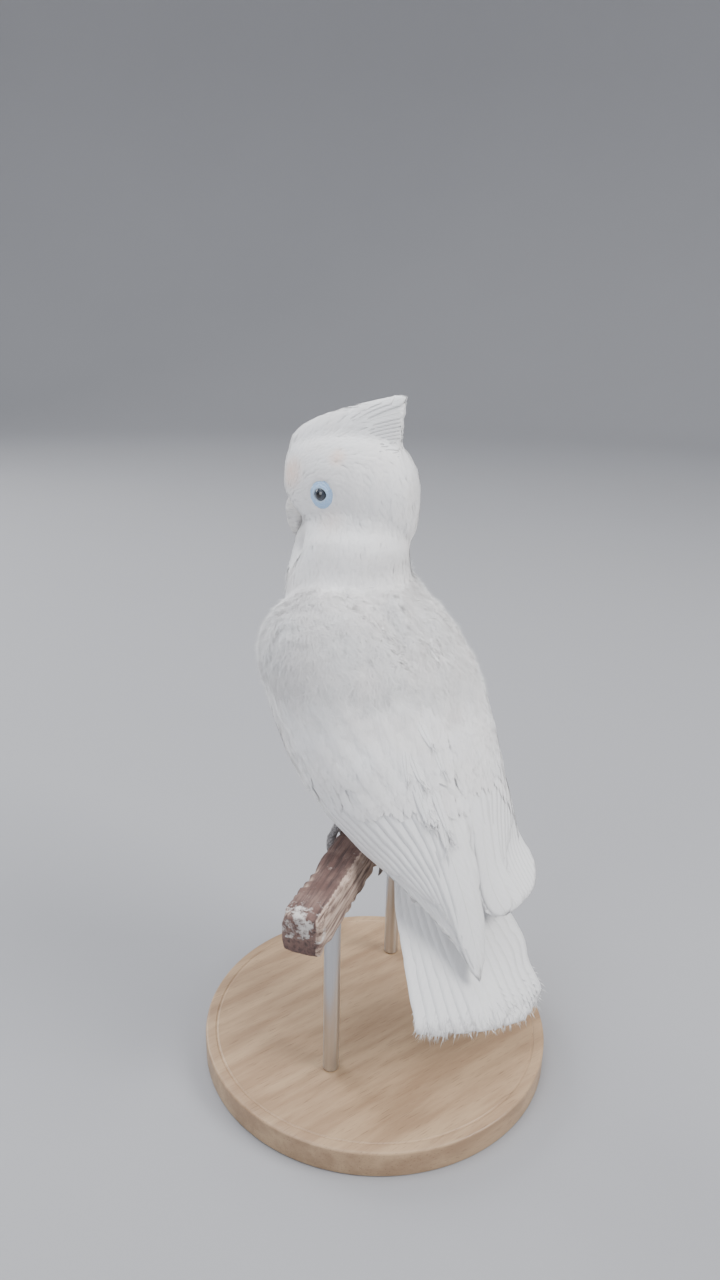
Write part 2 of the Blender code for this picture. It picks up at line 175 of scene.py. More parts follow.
class Wire:
    """An output of a node, on which Python's operators add Math nodes."""

    def __init__(self, tree, socket):
        self.tree, self.socket = tree, socket

    def math(self, operation, *others):
        return arithmetic(self.tree, operation, self, *others)

    def __add__(self, other):
        return self.math("ADD", other)

    def __mul__(self, other):
        return self.math("MULTIPLY", other)

    def __sub__(self, other):
        return self.math("SUBTRACT", other)

    def __truediv__(self, other):
        return self.math("DIVIDE", other)

    def __rsub__(self, other):
        return arithmetic(self.tree, "SUBTRACT", other, self)

    __radd__, __rmul__ = __add__, __mul__

    def between(self, low, high):
        """0 below low, 1 above high, and a soft step from one to the other."""
        node = self.tree.nodes.new("ShaderNodeMapRange")
        node.interpolation_type = "SMOOTHSTEP"
        for name, value in (("Value", self), ("From Min", low), ("From Max", high)):
            feed(self.tree, node.inputs[name], value)
        return Wire(self.tree, node.outputs[0])


def feed(tree, socket, value):
    if isinstance(value, Wire):
        tree.links.new(value.socket, socket)
    elif socket.type == "RGBA":
        socket.default_value = (*value, 1)
    else:
        socket.default_value = value


class Finish:
    """A material under construction."""

    def __init__(self, name, **constants):
        self.material = bpy.data.materials.new(name)
        self.material.use_nodes = True
        self.tree = self.material.node_tree
        self.shader = self.tree.nodes["Principled BSDF"]
        self.give(**constants)

    def node(self, kind, options=None, values=None, output=0):
        node = self.tree.nodes.new("ShaderNode" + kind)
        for key, value in (options or {}).items():
            if key == "stops":
                for spot, shade in value[2:]:
                    node.color_ramp.elements.new(spot)
                for element, (spot, shade) in zip(node.color_ramp.elements, value):
                    element.position, element.color = spot, (*shade, 1)
            else:
                setattr(node, key, value)
        for key, value in (values or {}).items():
            feed(self.tree, node.inputs[key], value)
        return Wire(self.tree, node.outputs[output])

    def place(self):
        return self.node("TexCoord", output="Object")

    def noise(self, scale, detail=3.0, roughness=0.5, vector=None):
        return self.node("TexNoise", {}, {"Vector": vector or self.place(), "Scale": scale,
                                          "Detail": detail, "Roughness": roughness})

    def stretched(self, scale, turn=(0, 0, 0), vector=None):
        return self.node("Mapping", {}, {"Vector": vector or self.place(), "Scale": scale,
                                         "Rotation": turn})

    def grain(self, stretch, detail, roughness, vector=None):
        """Noise drawn out along one axis."""
        return self.noise(1.0, detail, roughness, self.stretched(stretch, vector=vector))

    def attribute(self, name):
        return self.node("Attribute", {"attribute_name": name}, {}, "Fac")

    def axis(self, vector, letter):
        return self.node("SeparateXYZ", {}, {"Vector": vector}, letter)

    def mix(self, factor, first, second):
        return self.node("Mix", {"data_type": "RGBA"}, {0: factor, 6: first, 7: second}, 2)

    def near(self, centre, radius, vector=None):
        """1 at centre, falling to 0 at radius."""
        far = self.node("VectorMath", {"operation": "DISTANCE"},
                        {0: vector or self.place(), 1: tuple(centre)}, "Value")
        return 1 - far.between(radius * 0.15, radius)

    def relief(self, height, distance, strength=1.0):
        bump = self.node("Bump", {}, {"Height": height, "Distance": distance, "Strength": strength})
        self.tree.links.new(bump.socket, self.shader.inputs["Normal"])

    def give(self, **inputs):
        for key, value in inputs.items():
            feed(self.tree, self.shader.inputs[key.replace("_", " ")], value)
        return self.material


# The head's own frame: its middle, and its axes in the world.
HEAD_TURN, HEAD_NOD = math.radians(33), math.radians(3)
HEAD_CENTRE = Vector((-11, -45, 292)) * MM
HEAD_SPIN = Matrix.Rotation(HEAD_TURN, 3, "Z") @ Matrix.Rotation(HEAD_NOD, 3, "X")
HEAD_FORWARD = HEAD_SPIN @ Vector((0, -1, 0))
HEAD_LEFT = HEAD_SPIN @ Vector((1, 0, 0))
HEAD_UP = HEAD_SPIN @ Vector((0, 0, 1))
HEAD_AXES = np.array([HEAD_FORWARD, HEAD_LEFT, HEAD_UP])

# Lores, brow and cheek: place in the head's millimetres, radius and strength.
PEACH_MARKS = ((24, 13, 9, 11, 0.75), (-1, 17, 17, 6.5, 0.7), (1, 22, -12, 10, 0.22))


def head_point(forward, left, up):
    """A place in the world from one in the head's own frame, in millimetres."""
    return HEAD_CENTRE + (HEAD_FORWARD * forward + HEAD_LEFT * left + HEAD_UP * up) * MM


def local_to_head(points):
    return (points - np.array(HEAD_CENTRE)) / MM @ HEAD_AXES.T


def marked(finish, ground, tint):
    """Plumage colour with the peach marks of the face and a painted shade under the bill, the same
    on skin and feathers.
    """
    marks = 0.0
    for _, hand in SIDES:
        lores, brow, cheek = (
            finish.near(head_point(forward, left * hand, up), reach * MM) * strength
            for forward, left, up, reach, strength in PEACH_MARKS)
        marks = lores + brow + cheek + marks
    ruffle = finish.noise(420, 3, 0.6)
    # Painted shade: a grey patch for the shadow in the hollow beside and below the bill.
    shaded = 0.0
    for _, hand in SIDES:
        shaded = finish.near(head_point(22, 12 * hand, -25), 8 * MM) * 0.28 + shaded
    dim = finish.mix(shaded * (ruffle + 0.5), ground, Tone.chin_shade)
    return finish.mix(marks * (ruffle * 1.1 + 0.45), dim, tint)


def skin_finish():
    tones = settings("plumage")
    finish = Finish("plumed_skin", Roughness=0.85, Sheen_Weight=0.15)
    bare = finish.attribute("bare")
    soft = finish.noise(260, 4, 0.6)
    white = finish.mix(soft, tones.shade, tones.white)
    scale = finish.node("TexVoronoi", {"feature": "DISTANCE_TO_EDGE"},
                        {"Vector": finish.place(), "Scale": 620.0})
    edge = scale.between(0.02, 0.16)
    grey = finish.mix(edge, Tone.scale_gap, Tone.scale)
    lines = finish.noise(900, 2, 0.6)
    finish.relief(edge * bare + lines * (1 - bare) * 0.5, 0.0006)
    return finish.give(Base_Color=finish.mix(bare, marked(finish, white, tones.peach), grey))


def plume_finish(name, softness=0.8, depth=1.0, bright=1.0):
    """Small feathers: darker at the root, a painted shade for the shadow between them, and white at
    the tip.
    """
    tones = settings("plumage")
    finish = Finish(name, Roughness=softness, Sheen_Weight=0.25, Sheen_Roughness=0.6,
                    Specular_IOR_Level=0.25)
    tone = finish.attribute("tone")
    wide = finish.noise(55, 2, 0.5).between(0.3, 0.75)
    warm = finish.mix(wide, tuple(c * bright for c in Tone.plume_warm),
                      tuple(min(0.96, c * bright) for c in tones.white))
    # Painted shade: roots darken towards the shade colour for the shadow between overlapping
    # feathers; depth sets how far it reaches.
    deep = finish.mix(tone.between(0.0, 0.55 * depth), tones.shade, warm)
    return finish.give(Base_Color=marked(finish, deep, tones.peach))


def vane_finish(name, relief=0.7):
    """Long feathers: a quill down the middle and fine barbs at a slant."""
    tones = settings("plumage")
    finish = Finish(name, Roughness=0.55, Sheen_Weight=0.2, Sheen_Roughness=0.5,
                    Specular_IOR_Level=0.35)
    lie = finish.node("UVMap", {"uv_map": "Vane"})
    across = finish.axis(lie, "X")
    along = finish.axis(lie, "Y")
    out = (across - 0.5).math("ABSOLUTE")
    barbs = (along * 90 - out * 26 + finish.noise(35, 2, 0.6) * 2.5).math("SINE")
    quill = 1 - out.between(0.012, 0.05)
    tone = finish.attribute("tone")
    streak = finish.grain((46, 5, 1), 4, 0.65, lie)
    # Painted shade: the long feathers darken towards the root, where the feathers over them shade
    # it.
    cool = finish.mix(tone.between(0.0, 0.5), Tone.vane_root_shade, tones.white)
    warm = finish.mix(streak.between(0.35, 0.8) * 0.35, cool, Tone.vane_streak)
    finish.relief((barbs * 0.16 + quill * 1.2 + streak * 0.55) * relief, 0.00022)
    # Painted shade in the grooves between the barbs.
    shadow = barbs.between(-1.0, 0.1) * 0.06 + 0.94
    dim = finish.mix(1 - shadow, warm, Tone.vane_groove_shade)
    return finish.give(Base_Color=finish.mix(quill * 0.35, dim, Tone.quill))


def ring_finish(hand):
    tones = settings("head")
    finish = Finish(f"eye_ring_skin_{hand}", Roughness=0.5, Subsurface_Weight=0.0, Coat_Weight=0.08)
    lie = finish.node("UVMap", {"uv_map": "Vane"})
    out = finish.axis(lie, "X")
    creases = (out * 30 + finish.noise(900, 2, 0.6) * 7).math("SINE")
    pebble = finish.noise(1500, 3, 0.6)
    tint = finish.mix(pebble.between(0.3, 0.75), tones.ring_blue, Tone.ring_light)
    pale = finish.mix(1 - out.between(0.05, 0.32), tint, Tone.ring_edge)
    lash = finish.mix(1 - out.between(0.0, 0.07), pale, Tone.lid_edge)
    finish.relief(creases * 0.5 + pebble * 1.2, 0.00012)
    return finish.give(Base_Color=lash, Roughness=0.42 + pebble * 0.2)


def eye_finish(hand, centre, axis):
    tones = settings("head")
    finish = Finish(f"eye_{hand}_gloss", Roughness=0.08, Coat_Weight=1.0, Coat_Roughness=0.02,
                    IOR=1.4)
    gap = finish.node("VectorMath", {"operation": "SUBTRACT"},
                      {0: finish.place(), 1: tuple(centre)})
    depth = finish.node("VectorMath", {"operation": "DOT_PRODUCT"},
                        {0: gap, 1: tuple(axis)}, "Value")
    size = finish.node("VectorMath", {"operation": "LENGTH"}, {0: gap}, "Value")
    radial = ((size * size - depth * depth).math("MAXIMUM", 0.0)).math("SQRT") / MM
    fibres = finish.noise(1600, 3, 0.7)
    iris = finish.mix(fibres.between(0.3, 0.7), tones.iris, Tone.iris_fibre)
    pupil = finish.mix(radial.between(1.15, 1.45), Tone.pupil, iris)
    rim = finish.mix(radial.between(2.55, 3.0), pupil, Tone.iris_rim)
    return finish.give(Base_Color=rim)


def horn_finish(nostrils):
    tones = settings("head")
    finish = Finish("bill_horn", Roughness=0.4, Coat_Weight=0.12, Coat_Roughness=0.3)
    flakes = finish.grain((260, 260, 900), 5, 0.65)
    cloud = finish.noise(180, 3, 0.6)
    base = finish.mix(cloud.between(0.35, 0.7), tones.horn, Tone.horn_cloud)
    grey = finish.mix(flakes.between(0.45, 0.72) * 0.7, base, Tone.horn_flake)
    tip = finish.near(head_point(25, 0, -30), 12 * MM) * 0.6
    worn = finish.mix(tip, grey, Tone.horn_tip)
    cere = finish.near(head_point(30, 0, -5), 7.5 * MM) * 1.3
    bare = finish.mix(cere * (cloud * 0.5 + 0.5), worn, Tone.cere)
    # The nostrils are painted near black: a painted shade inside the openings, over a shallow dent
    # in the horn.
    holes = 0.0
    for nostril in nostrils:
        holes = finish.near(nostril, 0.95 * MM) * 1.5 + holes
    finish.relief(flakes, 0.00025)
    return finish.give(Base_Color=finish.mix(holes, bare, Tone.nostril),
                       Roughness=0.32 + flakes * 0.25)


def claw_finish():
    finish = Finish("claw_horn", Roughness=0.35, Coat_Weight=0.15)
    grain = finish.grain((500, 500, 1400), 3, 0.6)
    finish.relief(grain, 0.0001)
    return finish.give(Base_Color=finish.mix(grain, Tone.claw_dark, Tone.claw))


def timber_finish():
    tones = settings("display")
    finish = Finish("gnawed_timber", Roughness=0.8)
    turn = (0, 0, -math.radians(PERCH_TURN))
    lie = finish.stretched((1, 1, 1), turn)
    grain = finish.grain((45, 620, 620), 5, 0.65, lie)
    cloud = finish.noise(95, 4, 0.6)
    raw = finish.attribute("raw")
    old = finish.mix(cloud.between(0.3, 0.7), tones.bark, Tone.bark_light)
    fresh = finish.mix(grain.between(0.3, 0.7), tones.raw, Tone.raw_light)
    wood = finish.mix(raw.between(0.25, 0.75), old, fresh)
    dark = finish.mix(grain.between(0.25, 0.6), Tone.grain_gap, wood)
    worn = finish.mix(finish.noise(230, 3, 0.7).between(0.62, 0.74) * 0.45, dark, Tone.scuff)
    lime = finish.attribute("lime")
    patches = (finish.noise(120, 4, 0.7) * lime * 2).between(0.98, 1.25)
    finish.relief(grain * 0.8 + cloud * 0.6, 0.0006)
    return finish.give(Base_Color=finish.mix(patches * 0.8, worn, Tone.lime),
                       Roughness=0.72 + grain * 0.2)


def board_finish():
    tones = settings("display")
    finish = Finish("turned_board", Roughness=0.45, Coat_Weight=0.2, Coat_Roughness=0.25)
    rings = finish.grain((16, 120, 120), 4, 0.6)
    pores = finish.grain((90, 1500, 1500), 2, 0.6)
    wood = finish.mix(rings.between(0.3, 0.7), tones.board, Tone.board_light)
    dark = finish.mix(pores.between(0.58, 0.7) * 0.5, wood, Tone.pore)
    finish.relief(pores * 0.5 + rings * 0.3, 0.00012)
    return finish.give(Base_Color=dark, Roughness=0.38 + rings * 0.2)


def steel_finish():
    finish = Finish("brushed_rod", Metallic=1.0, Roughness=0.3)
    brushed = finish.grain((900, 900, 12), 3, 0.6)
    finish.relief(brushed, 0.00004)
    return finish.give(Base_Color=finish.mix(brushed, Tone.steel_dark, Tone.steel),
                       Roughness=0.26 + brushed * 0.16)


def floor_finish():
    finish = Finish("studio_floor", Roughness=0.9)
    ground = tuple(settings("stage").floor)
    cloud = finish.noise(2.5, 3, 0.5)
    finish.relief(finish.noise(220, 2, 0.6), 0.0002, 0.3)
    return finish.give(Base_Color=finish.mix(cloud, ground, tuple(c * 1.06 for c in ground)))


# ------------------------------------------------------------------ mesh helpers


def only(*objects):
    """Selects these objects alone and makes the first one active."""
    for other in bpy.context.selected_objects:
        other.select_set(False)
    for thing in objects:
        thing.select_set(True)
    bpy.context.view_layer.objects.active = objects[0]


def dress(piece, material, slot, *nodes):
    """Gives a finished piece its material and its place in the frame."""
    piece.data.materials.clear()
    piece.data.materials.append(material)
    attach(piece, "root")
    if nodes:
        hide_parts(*nodes)
    return piece


def copied(name, nodes):
    """A joined copy of CAD nodes with their doubles merged, ready to be worked."""
    copies = []
    for node in nodes:
        piece = bpy.data.objects.new(name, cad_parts[node].data.copy())
        bpy.context.scene.collection.objects.link(piece)
        copies.append(piece)
    only(*copies)
    if len(copies) > 1:
        bpy.ops.object.join()
    piece = bpy.context.view_layer.objects.active
    outwards(piece, 1e-6)
    piece.name = name
    for layer in list(piece.data.uv_layers):
        piece.data.uv_layers.remove(layer)
    for extra in [a.name for a in piece.data.attributes if a.name.startswith(("custom", "sharp"))]:
        piece.data.attributes.remove(piece.data.attributes[extra])
    return piece


def modified(piece, kind, **options):
    modifier = piece.modifiers.new(kind.lower(), kind)
    for key, value in options.items():
        setattr(modifier, key, value)
    only(piece)
    bpy.ops.object.modifier_apply(modifier=modifier.name)
    return piece


def remeshed(piece, voxel, smooth):
    modified(piece, "REMESH", mode="VOXEL", voxel_size=voxel, use_smooth_shade=True)
    return modified(piece, "SMOOTH", factor=0.5, iterations=smooth)


def outwards(piece, gap=0.0):
    """Turns all faces outwards, and merges points closer than the gap."""
    only(piece)
    bpy.ops.object.mode_set(mode="EDIT")
    bpy.ops.mesh.select_all(action="SELECT")
    if gap:
        bpy.ops.mesh.remove_doubles(threshold=gap)
    bpy.ops.mesh.normals_make_consistent(inside=False)
    bpy.ops.object.mode_set(mode="OBJECT")


def primitive(kind, **options):
    """A new primitive, the only thing selected."""
    bpy.ops.object.select_all(action="DESELECT")
    getattr(bpy.ops.mesh, f"primitive_{kind}_add")(**options)
    return bpy.context.object


def settle(piece):
    """Puts the piece's place into its mesh."""
    only(piece)
    bpy.ops.object.transform_apply(location=True, rotation=True, scale=True)


def turned(piece, name, width, segments):
    """Rounds a turned piece's edges and shades it smooth between them."""
    modified(piece, "BEVEL", width=width, segments=segments, limit_method="ANGLE",
             angle_limit=math.radians(50))
    bpy.ops.object.shade_smooth_by_angle(angle=math.radians(35))
    piece.name = piece.data.name = name


def read(items, key, width, kind=np.float32):
    """The values of a mesh's points, edges or triangles as rows of an array."""
    found = np.empty(len(items) * width, kind)
    items.foreach_get(key, found)
    return found.reshape(-1, width)


def points_of(mesh):
    return read(mesh.vertices, "co", 3).astype(float)


def normals_of(mesh):
    return read(mesh.vertices, "normal", 3).astype(float)


def edges_of(mesh):
    return read(mesh.edges, "vertices", 2, np.int32)


def tree_of(points, polygons):
    return BVHTree.FromPolygons([Vector(p) for p in points], polygons)


def ripples(points, scale):
    """Smooth noise at each point, finer as the scale grows."""
    return np.array([noise.noise(Vector(p) * scale) for p in points])


def move_points(mesh, points):
    mesh.vertices.foreach_set("co", points.astype(np.float32).ravel())
    mesh.update()


def unit(vectors):
    size = np.linalg.norm(vectors, axis=-1, keepdims=True)
    return vectors / np.maximum(size, 1e-12)


def float_attribute(mesh, name, values):
    layer = mesh.attributes.new(name, "FLOAT", "POINT")
    layer.data.foreach_set("value", np.asarray(values, np.float32))


def built(name, points, faces, lie=None, bake=None, tone=None, normals=None):
    """A mesh object from arrays: faces lists index arrays, one for each number of corners."""
    mesh = bpy.data.meshes.new(name)
    mesh.vertices.add(len(points))
    mesh.vertices.foreach_set("co", np.asarray(points, np.float32).ravel())
    corners = np.concatenate([f.ravel() for f in faces]).astype(np.int32)
    sizes = np.concatenate([np.full(len(f), f.shape[1]) for f in faces]).astype(np.int32)
    mesh.loops.add(len(corners))
    mesh.loops.foreach_set("vertex_index", corners)
    mesh.polygons.add(len(sizes))
    starts = np.concatenate([[0], np.cumsum(sizes)[:-1]]).astype(np.int32)
    mesh.polygons.foreach_set("loop_start", starts)
    mesh.polygons.foreach_set("loop_total", sizes)
    mesh.polygons.foreach_set("use_smooth", np.ones(len(sizes), bool))
    mesh.update(calc_edges=True)
    for layer, places in (("OFBake", bake), ("Vane", lie)):
        if places is not None:
            uv = mesh.uv_layers.new(name=layer)
            uv.data.foreach_set("uv", np.asarray(places, np.float32)[corners].ravel())
    if tone is not None:
        float_attribute(mesh, "tone", tone)
    if normals is not None:
        mesh.normals_split_custom_set_from_vertices(normals.astype(np.float32).tolist())
    piece = bpy.data.objects.new(name, mesh)
    bpy.context.scene.collection.objects.link(piece)
    return piece


def surface_of(names):
    """A search tree over CAD nodes, and the node that each of its faces belongs to."""
    points, faces, owners = [], [], []
    for name in names:
        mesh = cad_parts[name].data
        start = len(points)
        points += [v.co.copy() for v in mesh.vertices]
        faces += [[start + i for i in p.vertices] for p in mesh.polygons]
        owners += [name] * len(mesh.polygons)
    return BVHTree.FromPolygons(points, faces), owners


# ------------------------------------------------------------------ skin and the lie of the coat

COAT = {"head": 0.6, "crest": 0.8, "neck": 1.4, "trunk": 3.2, "wing_left": 2.0, "wing_right": 2.0,
        "thigh_left": 2.4, "thigh_right": 2.4, "tail": 2.2}     # depth of the coat, in millimetres

# Soft mounds that fill the groove between the wings: middle and radius, in millimetres.
MANTLE = ((-8, -5, 243, 7), (-8, 0, 234, 8.5), (-8, 5, 225, 9.5), (-8.5, 9.5, 217, 10),
          (-8.5, 14, 209, 10), (-8.5, 18.5, 201, 9.5), (-8.5, 22.5, 193, 9), (-9, 26, 185, 8.5),
          (-10, 29, 177, 8), (-11, 32, 169, 7.5), (-12, 34.5, 161, 7), (-13, 37, 153, 6.5),
          (-18, -4, 238, 7.5), (-22, 1, 231, 8), (8, -6, 241, 7.5))

CHIN = (24, 18, -24)     # hollow beside and below the bill, in the head's millimetres
BILL_ROOT = (20.0, 0, -2)     # where the face's feathers start, in the head's millimetres

# Ways that the coat lies, in the world and, for nape and crown, in the head's frame.
DOWN_THE_BREAST = (0.0, 0.12, -1.0)
DOWN_THE_BACK, DOWN_THE_TAIL = (-0.05, 0.4, -0.9), (-0.17, 0.4, -0.9)
DOWN_THE_NAPE, OVER_THE_CROWN = (-0.25, 0, -1.0), (-1.0, 0, 0.35)


class Body:
    """What the feathers need to know of the bird: the skin's points, and three search trees."""
    form = None      # the outer form
    skin = None      # the skin
    bed = None       # the outer form, evened out for the long feathers
    points = normals = lie = labels = triangles = None

    @classmethod
    def part(cls, *nodes):
        """True at the skin's points that belong to these nodes."""
        return np.isin(cls.labels, nodes)

    @classmethod
    def outward(cls):
        """How far the skin faces away from the body's upright line at each point, from -1 to 1."""
        gap = cls.points[:, :2] - axis_at(cls.points[:, 2])
        return (unit(gap) * cls.normals[:, :2]).sum(1)


def spread(values, edges, count, rounds):
    """Averages values over neighbouring points, several times."""
    values = values.reshape(count, -1).astype(float)
    degree = np.bincount(edges.ravel(), minlength=count)[:, None]
    for _ in range(rounds):
        total = np.stack([
            np.bincount(edges[:, 0], values[edges[:, 1], k], count)
            + np.bincount(edges[:, 1], values[edges[:, 0], k], count)
            for k in range(values.shape[1])], 1)
        values = 0.4 * values + 0.6 * total / np.maximum(degree, 1)
    return values


def node_points(node):
    return points_of(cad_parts[node].data)


def wing_line(node):
    """From a wing's top to its tip."""
    points = node_points(node)
    height = points[:, 2]
    top = points[height > np.quantile(height, 0.85)].mean(0)
    tip = points[height < np.quantile(height, 0.12)].mean(0)
    return (tip - top) / np.linalg.norm(tip - top)


def lie_of_coat(points, labels):
    """The way that feathers lie at each point, before it is made to follow the surface."""
    lie = np.tile(DOWN_THE_BREAST, (len(points), 1))
    for hand in ("left", "right"):
        lie[labels == "wing_" + hand] = wing_line("wing_" + hand)
    lie[labels == "tail"] = DOWN_THE_TAIL
    lie[(labels == "trunk") & (points[:, 1] > -0.01)] = DOWN_THE_BACK
    head = np.isin(labels, ("head", "crest"))
    local = local_to_head(points[head])
    flow = unit(local - BILL_ROOT) * (1, 0.7, 1)
    behind = np.clip((12 - local[:, 0]) / 26, 0, 1)[:, None]
    crown = np.clip((local[:, 2] - 12) / 10, 0, 1)[:, None]
    flow = (flow * (1 - behind) + np.array(DOWN_THE_NAPE) * behind * (1 - crown)
            + np.array(OVER_THE_CROWN) * (0.4 + behind) * crown)
    lie[head] = unit(flow) @ HEAD_AXES
    return lie


def filled(points, normals, local, edges):
    """Fills the waist between head and trunk and the groove down the back, outwards only."""
    rise = ((spread(points, edges, len(points), 160) - points) * normals).sum(1)
    level = points[:, 2] / MM
    waist = np.clip((level - 243) / 8, 0, 1) * np.clip((292 - level) / 9, 0, 1)
    waist *= np.clip((14 - local[:, 0]) / 10, 0, 1)
    back = np.clip((points[:, 1] / MM + 22) / 12, 0, 1) * np.clip((level - 185) / 25, 0.2, 1)
    back *= np.clip((level - 150) / 15, 0, 1) * np.clip(normals[:, 1] * 4, 0, 1)
    return points + normals * (np.clip(rise, 0, 5 * MM) * np.maximum(waist, back))[:, None]


def evened(points, edges):
    """The same form without its small lumps, and hardly smaller."""
    for _ in range(16):
        points = points + (spread(points, edges, len(points), 1) - points)
        points = points - (spread(points, edges, len(points), 1) - points) * 1.04
    return points


def sunk(points, normals, local, labels, edges):
    """The skin's points: the form's points, moved in by the coat's depth."""
    count = len(points)
    room = np.empty(count)
    for i, (p, n) in enumerate(zip(points, normals)):
        inward = -Vector(n)
        hit = Body.form.ray_cast(Vector(p) + inward * 0.2 * MM, inward, 50 * MM)
        room[i] = hit[3] if hit[0] is not None else 50 * MM
    depth = np.array([COAT.get(label, 0.25) for label in labels]) * MM
    depth = spread(depth, edges, count, 24)[:, 0]
    for _, hand in SIDES:
        gap = np.linalg.norm(local - np.array(CHIN) * (1, hand, 1), axis=1)
        depth += 8 * MM * np.exp(-(gap / 9.5) ** 2)
    depth = np.minimum(depth, spread(room, edges, count, 3)[:, 0] * 0.36)
    depth[np.isin(labels, FEET)] = 0.3 * MM
    return points - normals * depth[:, None]


def thinned(points, labels):
    """Moves the skin in behind the crest, and makes it slim inside tail and wing tips."""
    local = local_to_head(points)
    peak = np.isin(labels, ("head", "crest")) * np.clip((-14 - local[:, 0]) / 14, 0, 1)
    peak *= np.clip((local[:, 2] - 16) / 26, 0, 1.1) * 4.6 * MM
    points = points + peak[:, None] * np.array(HEAD_FORWARD)
    for node, keep, start, run in (("tail", 0.3, 0.012, 0.035), ("wing_left", 0.86, -0.02, 0.06),
                                   ("wing_right", 0.86, -0.02, 0.06)):
        mine = labels == node
        top = points[mine & (points[:, 2] > points[mine, 2].max() - 30 * MM)].mean(0)
        low = np.clip((top[2] + start - points[mine, 2]) / run, 0, 1)[:, None]
        points[mine] = points[mine] * (1 - low) + (top + (points[mine] - top) * keep) * low
    return points


def make_skin():
    """One skin for all the flesh, inside the solids by the coat's depth."""
    nearest, owners = surface_of(FLESH)
    skin = copied("skin", FLESH)
    modified(skin, "DISPLACE", strength=0.3 * MM, mid_level=0.0)
    mounds = [primitive("uv_sphere", segments=24, ring_count=16, radius=radius * MM,
                        location=(x * MM, y * MM, z * MM)) for x, y, z, radius in MANTLE]
    only(skin, *mounds)
    bpy.ops.object.join()
    remeshed(skin, 1.3 * MM, 2)
    mesh = skin.data
    polygons, edges = [tuple(p.vertices) for p in mesh.polygons], edges_of(mesh)
    points = points_of(mesh)
    count, local = len(points), local_to_head(points)
    points = filled(points, normals_of(mesh), local, edges)
    move_points(mesh, points)
    Body.form = tree_of(points, polygons)
    Body.bed = tree_of(evened(points, edges), polygons)
    labels = np.array([owners[nearest.find_nearest(Vector(p))[2]] for p in points])
    points = thinned(sunk(points, normals_of(mesh), local, labels, edges), labels)
    points = spread(points, edges, count, 1)
    move_points(mesh, points)
    bare = np.isin(labels, FEET).astype(float)
    float_attribute(mesh, "bare", spread(bare, edges, count, 2)[:, 0])
    Body.skin = tree_of(points, polygons)
    Body.points, Body.normals, Body.labels = points, normals_of(mesh), labels
    Body.lie = unit(spread(lie_of_coat(points, labels), edges, count, 36))
    mesh.calc_loop_triangles()
    Body.triangles = read(mesh.loop_triangles, "vertices", 3, np.int32)
    dress(skin, skin_finish(), "plumage", *FLESH)


# ------------------------------------------------------------------ small feathers


class Roots:
    """Where small feathers start: place, normal and lie of the coat, and their random draws."""

    def __init__(self, place, normal, lie, rng):
        self.place, self.normal, self.lie, self.rng = place, normal, lie, rng
        self.count = len(place)
        self.y, self.z = place[:, 1], place[:, 2]

    def draw(self, low, high):
        return self.rng.uniform(low, high, self.count)


def apart(place, reach):
    """Indices of the places left when each one too close to an earlier one is dropped."""
    grid, kept = {}, []
    keys = np.floor(place / reach.max()).astype(int)
    around = [(i, j, k) for i in (-1, 0, 1) for j in (-1, 0, 1) for k in (-1, 0, 1)]
    coordinates = place.tolist()
    for i, key in enumerate(map(tuple, keys.tolist())):
        x, y, z = coordinates[i]
        limit = (reach[i] * 0.8) ** 2
        taken = any((px - x) ** 2 + (py - y) ** 2 + (pz - z) ** 2 < limit
                    for di, dj, dk in around
                    for px, py, pz in grid.get((key[0] + di, key[1] + dj, key[2] + dk), ()))
        if not taken:
            grid.setdefault(key, []).append((x, y, z))
            kept.append(i)
    return np.array(kept)


def spots(where, gap, seed):
    """Spots on the skin, at least gap apart, where the mask is true; gap may be one per point."""
    rng = np.random.default_rng(seed)
    gap = np.broadcast_to(gap, len(Body.points))
    corners = Body.triangles[where[Body.triangles].all(1)]
    a, b, c = (Body.points[corners[:, k]] for k in range(3))
    area = np.linalg.norm(np.cross(b - a, c - a), axis=1) / 2
    spacing = gap[corners[:, 0]]
    chance = area / spacing ** 2
    wanted = int(chance.sum() * 2.6)
    pick = rng.choice(len(corners), wanted, p=chance / chance.sum())
    u, v = rng.random(wanted), rng.random(wanted)
    flip = u + v > 1
    u[flip], v[flip] = 1 - u[flip], 1 - v[flip]
    weights = np.stack([1 - u - v, u, v], 1)[:, :, None]
    chosen = corners[pick]
    place = (Body.points[chosen] * weights).sum(1)
    kept = apart(place, spacing[pick])
    weights, chosen = weights[kept], chosen[kept]
    normal = unit((Body.normals[chosen] * weights).sum(1))
    lie = (Body.lie[chosen] * weights).sum(1)
    lie = unit(lie - normal * (lie * normal).sum(1, keepdims=True))
    return Roots(place[kept], normal, lie, rng)


def laid(place, normal, lie, sizes, heights, surface):
    """Centre lines of small feathers: four points each, which keep to the surface's shape."""
    count = len(place)
    place = np.array([surface.find_nearest(Vector(spot))[0] for spot in place])
    line, upright, side = (np.empty((count, 4, 3)) for _ in range(3))
    line[:, 0] = place + normal * heights[0]
    upright[:, 0] = normal
    side[:, 0] = np.cross(lie, normal)
    at, way = place.copy(), lie.copy()
    for step in (1, 2, 3):
        target = at + way * (sizes / 3)[:, None]
        found = [surface.find_nearest(Vector(goal))[:2] for goal in target]
        down, up = (np.array([hit[k] for hit in found]) for k in (0, 1))
        up = unit(up * 0.6 + upright[:, step - 1] * 0.4)
        fresh = down - at
        way = unit(fresh - up * (fresh * up).sum(1, keepdims=True))
        at = down
        upright[:, step] = up
        side[:, step] = np.cross(way, up)
        line[:, step] = at + up * np.asarray(heights[step]).reshape(-1, 1)
    return line, side, upright


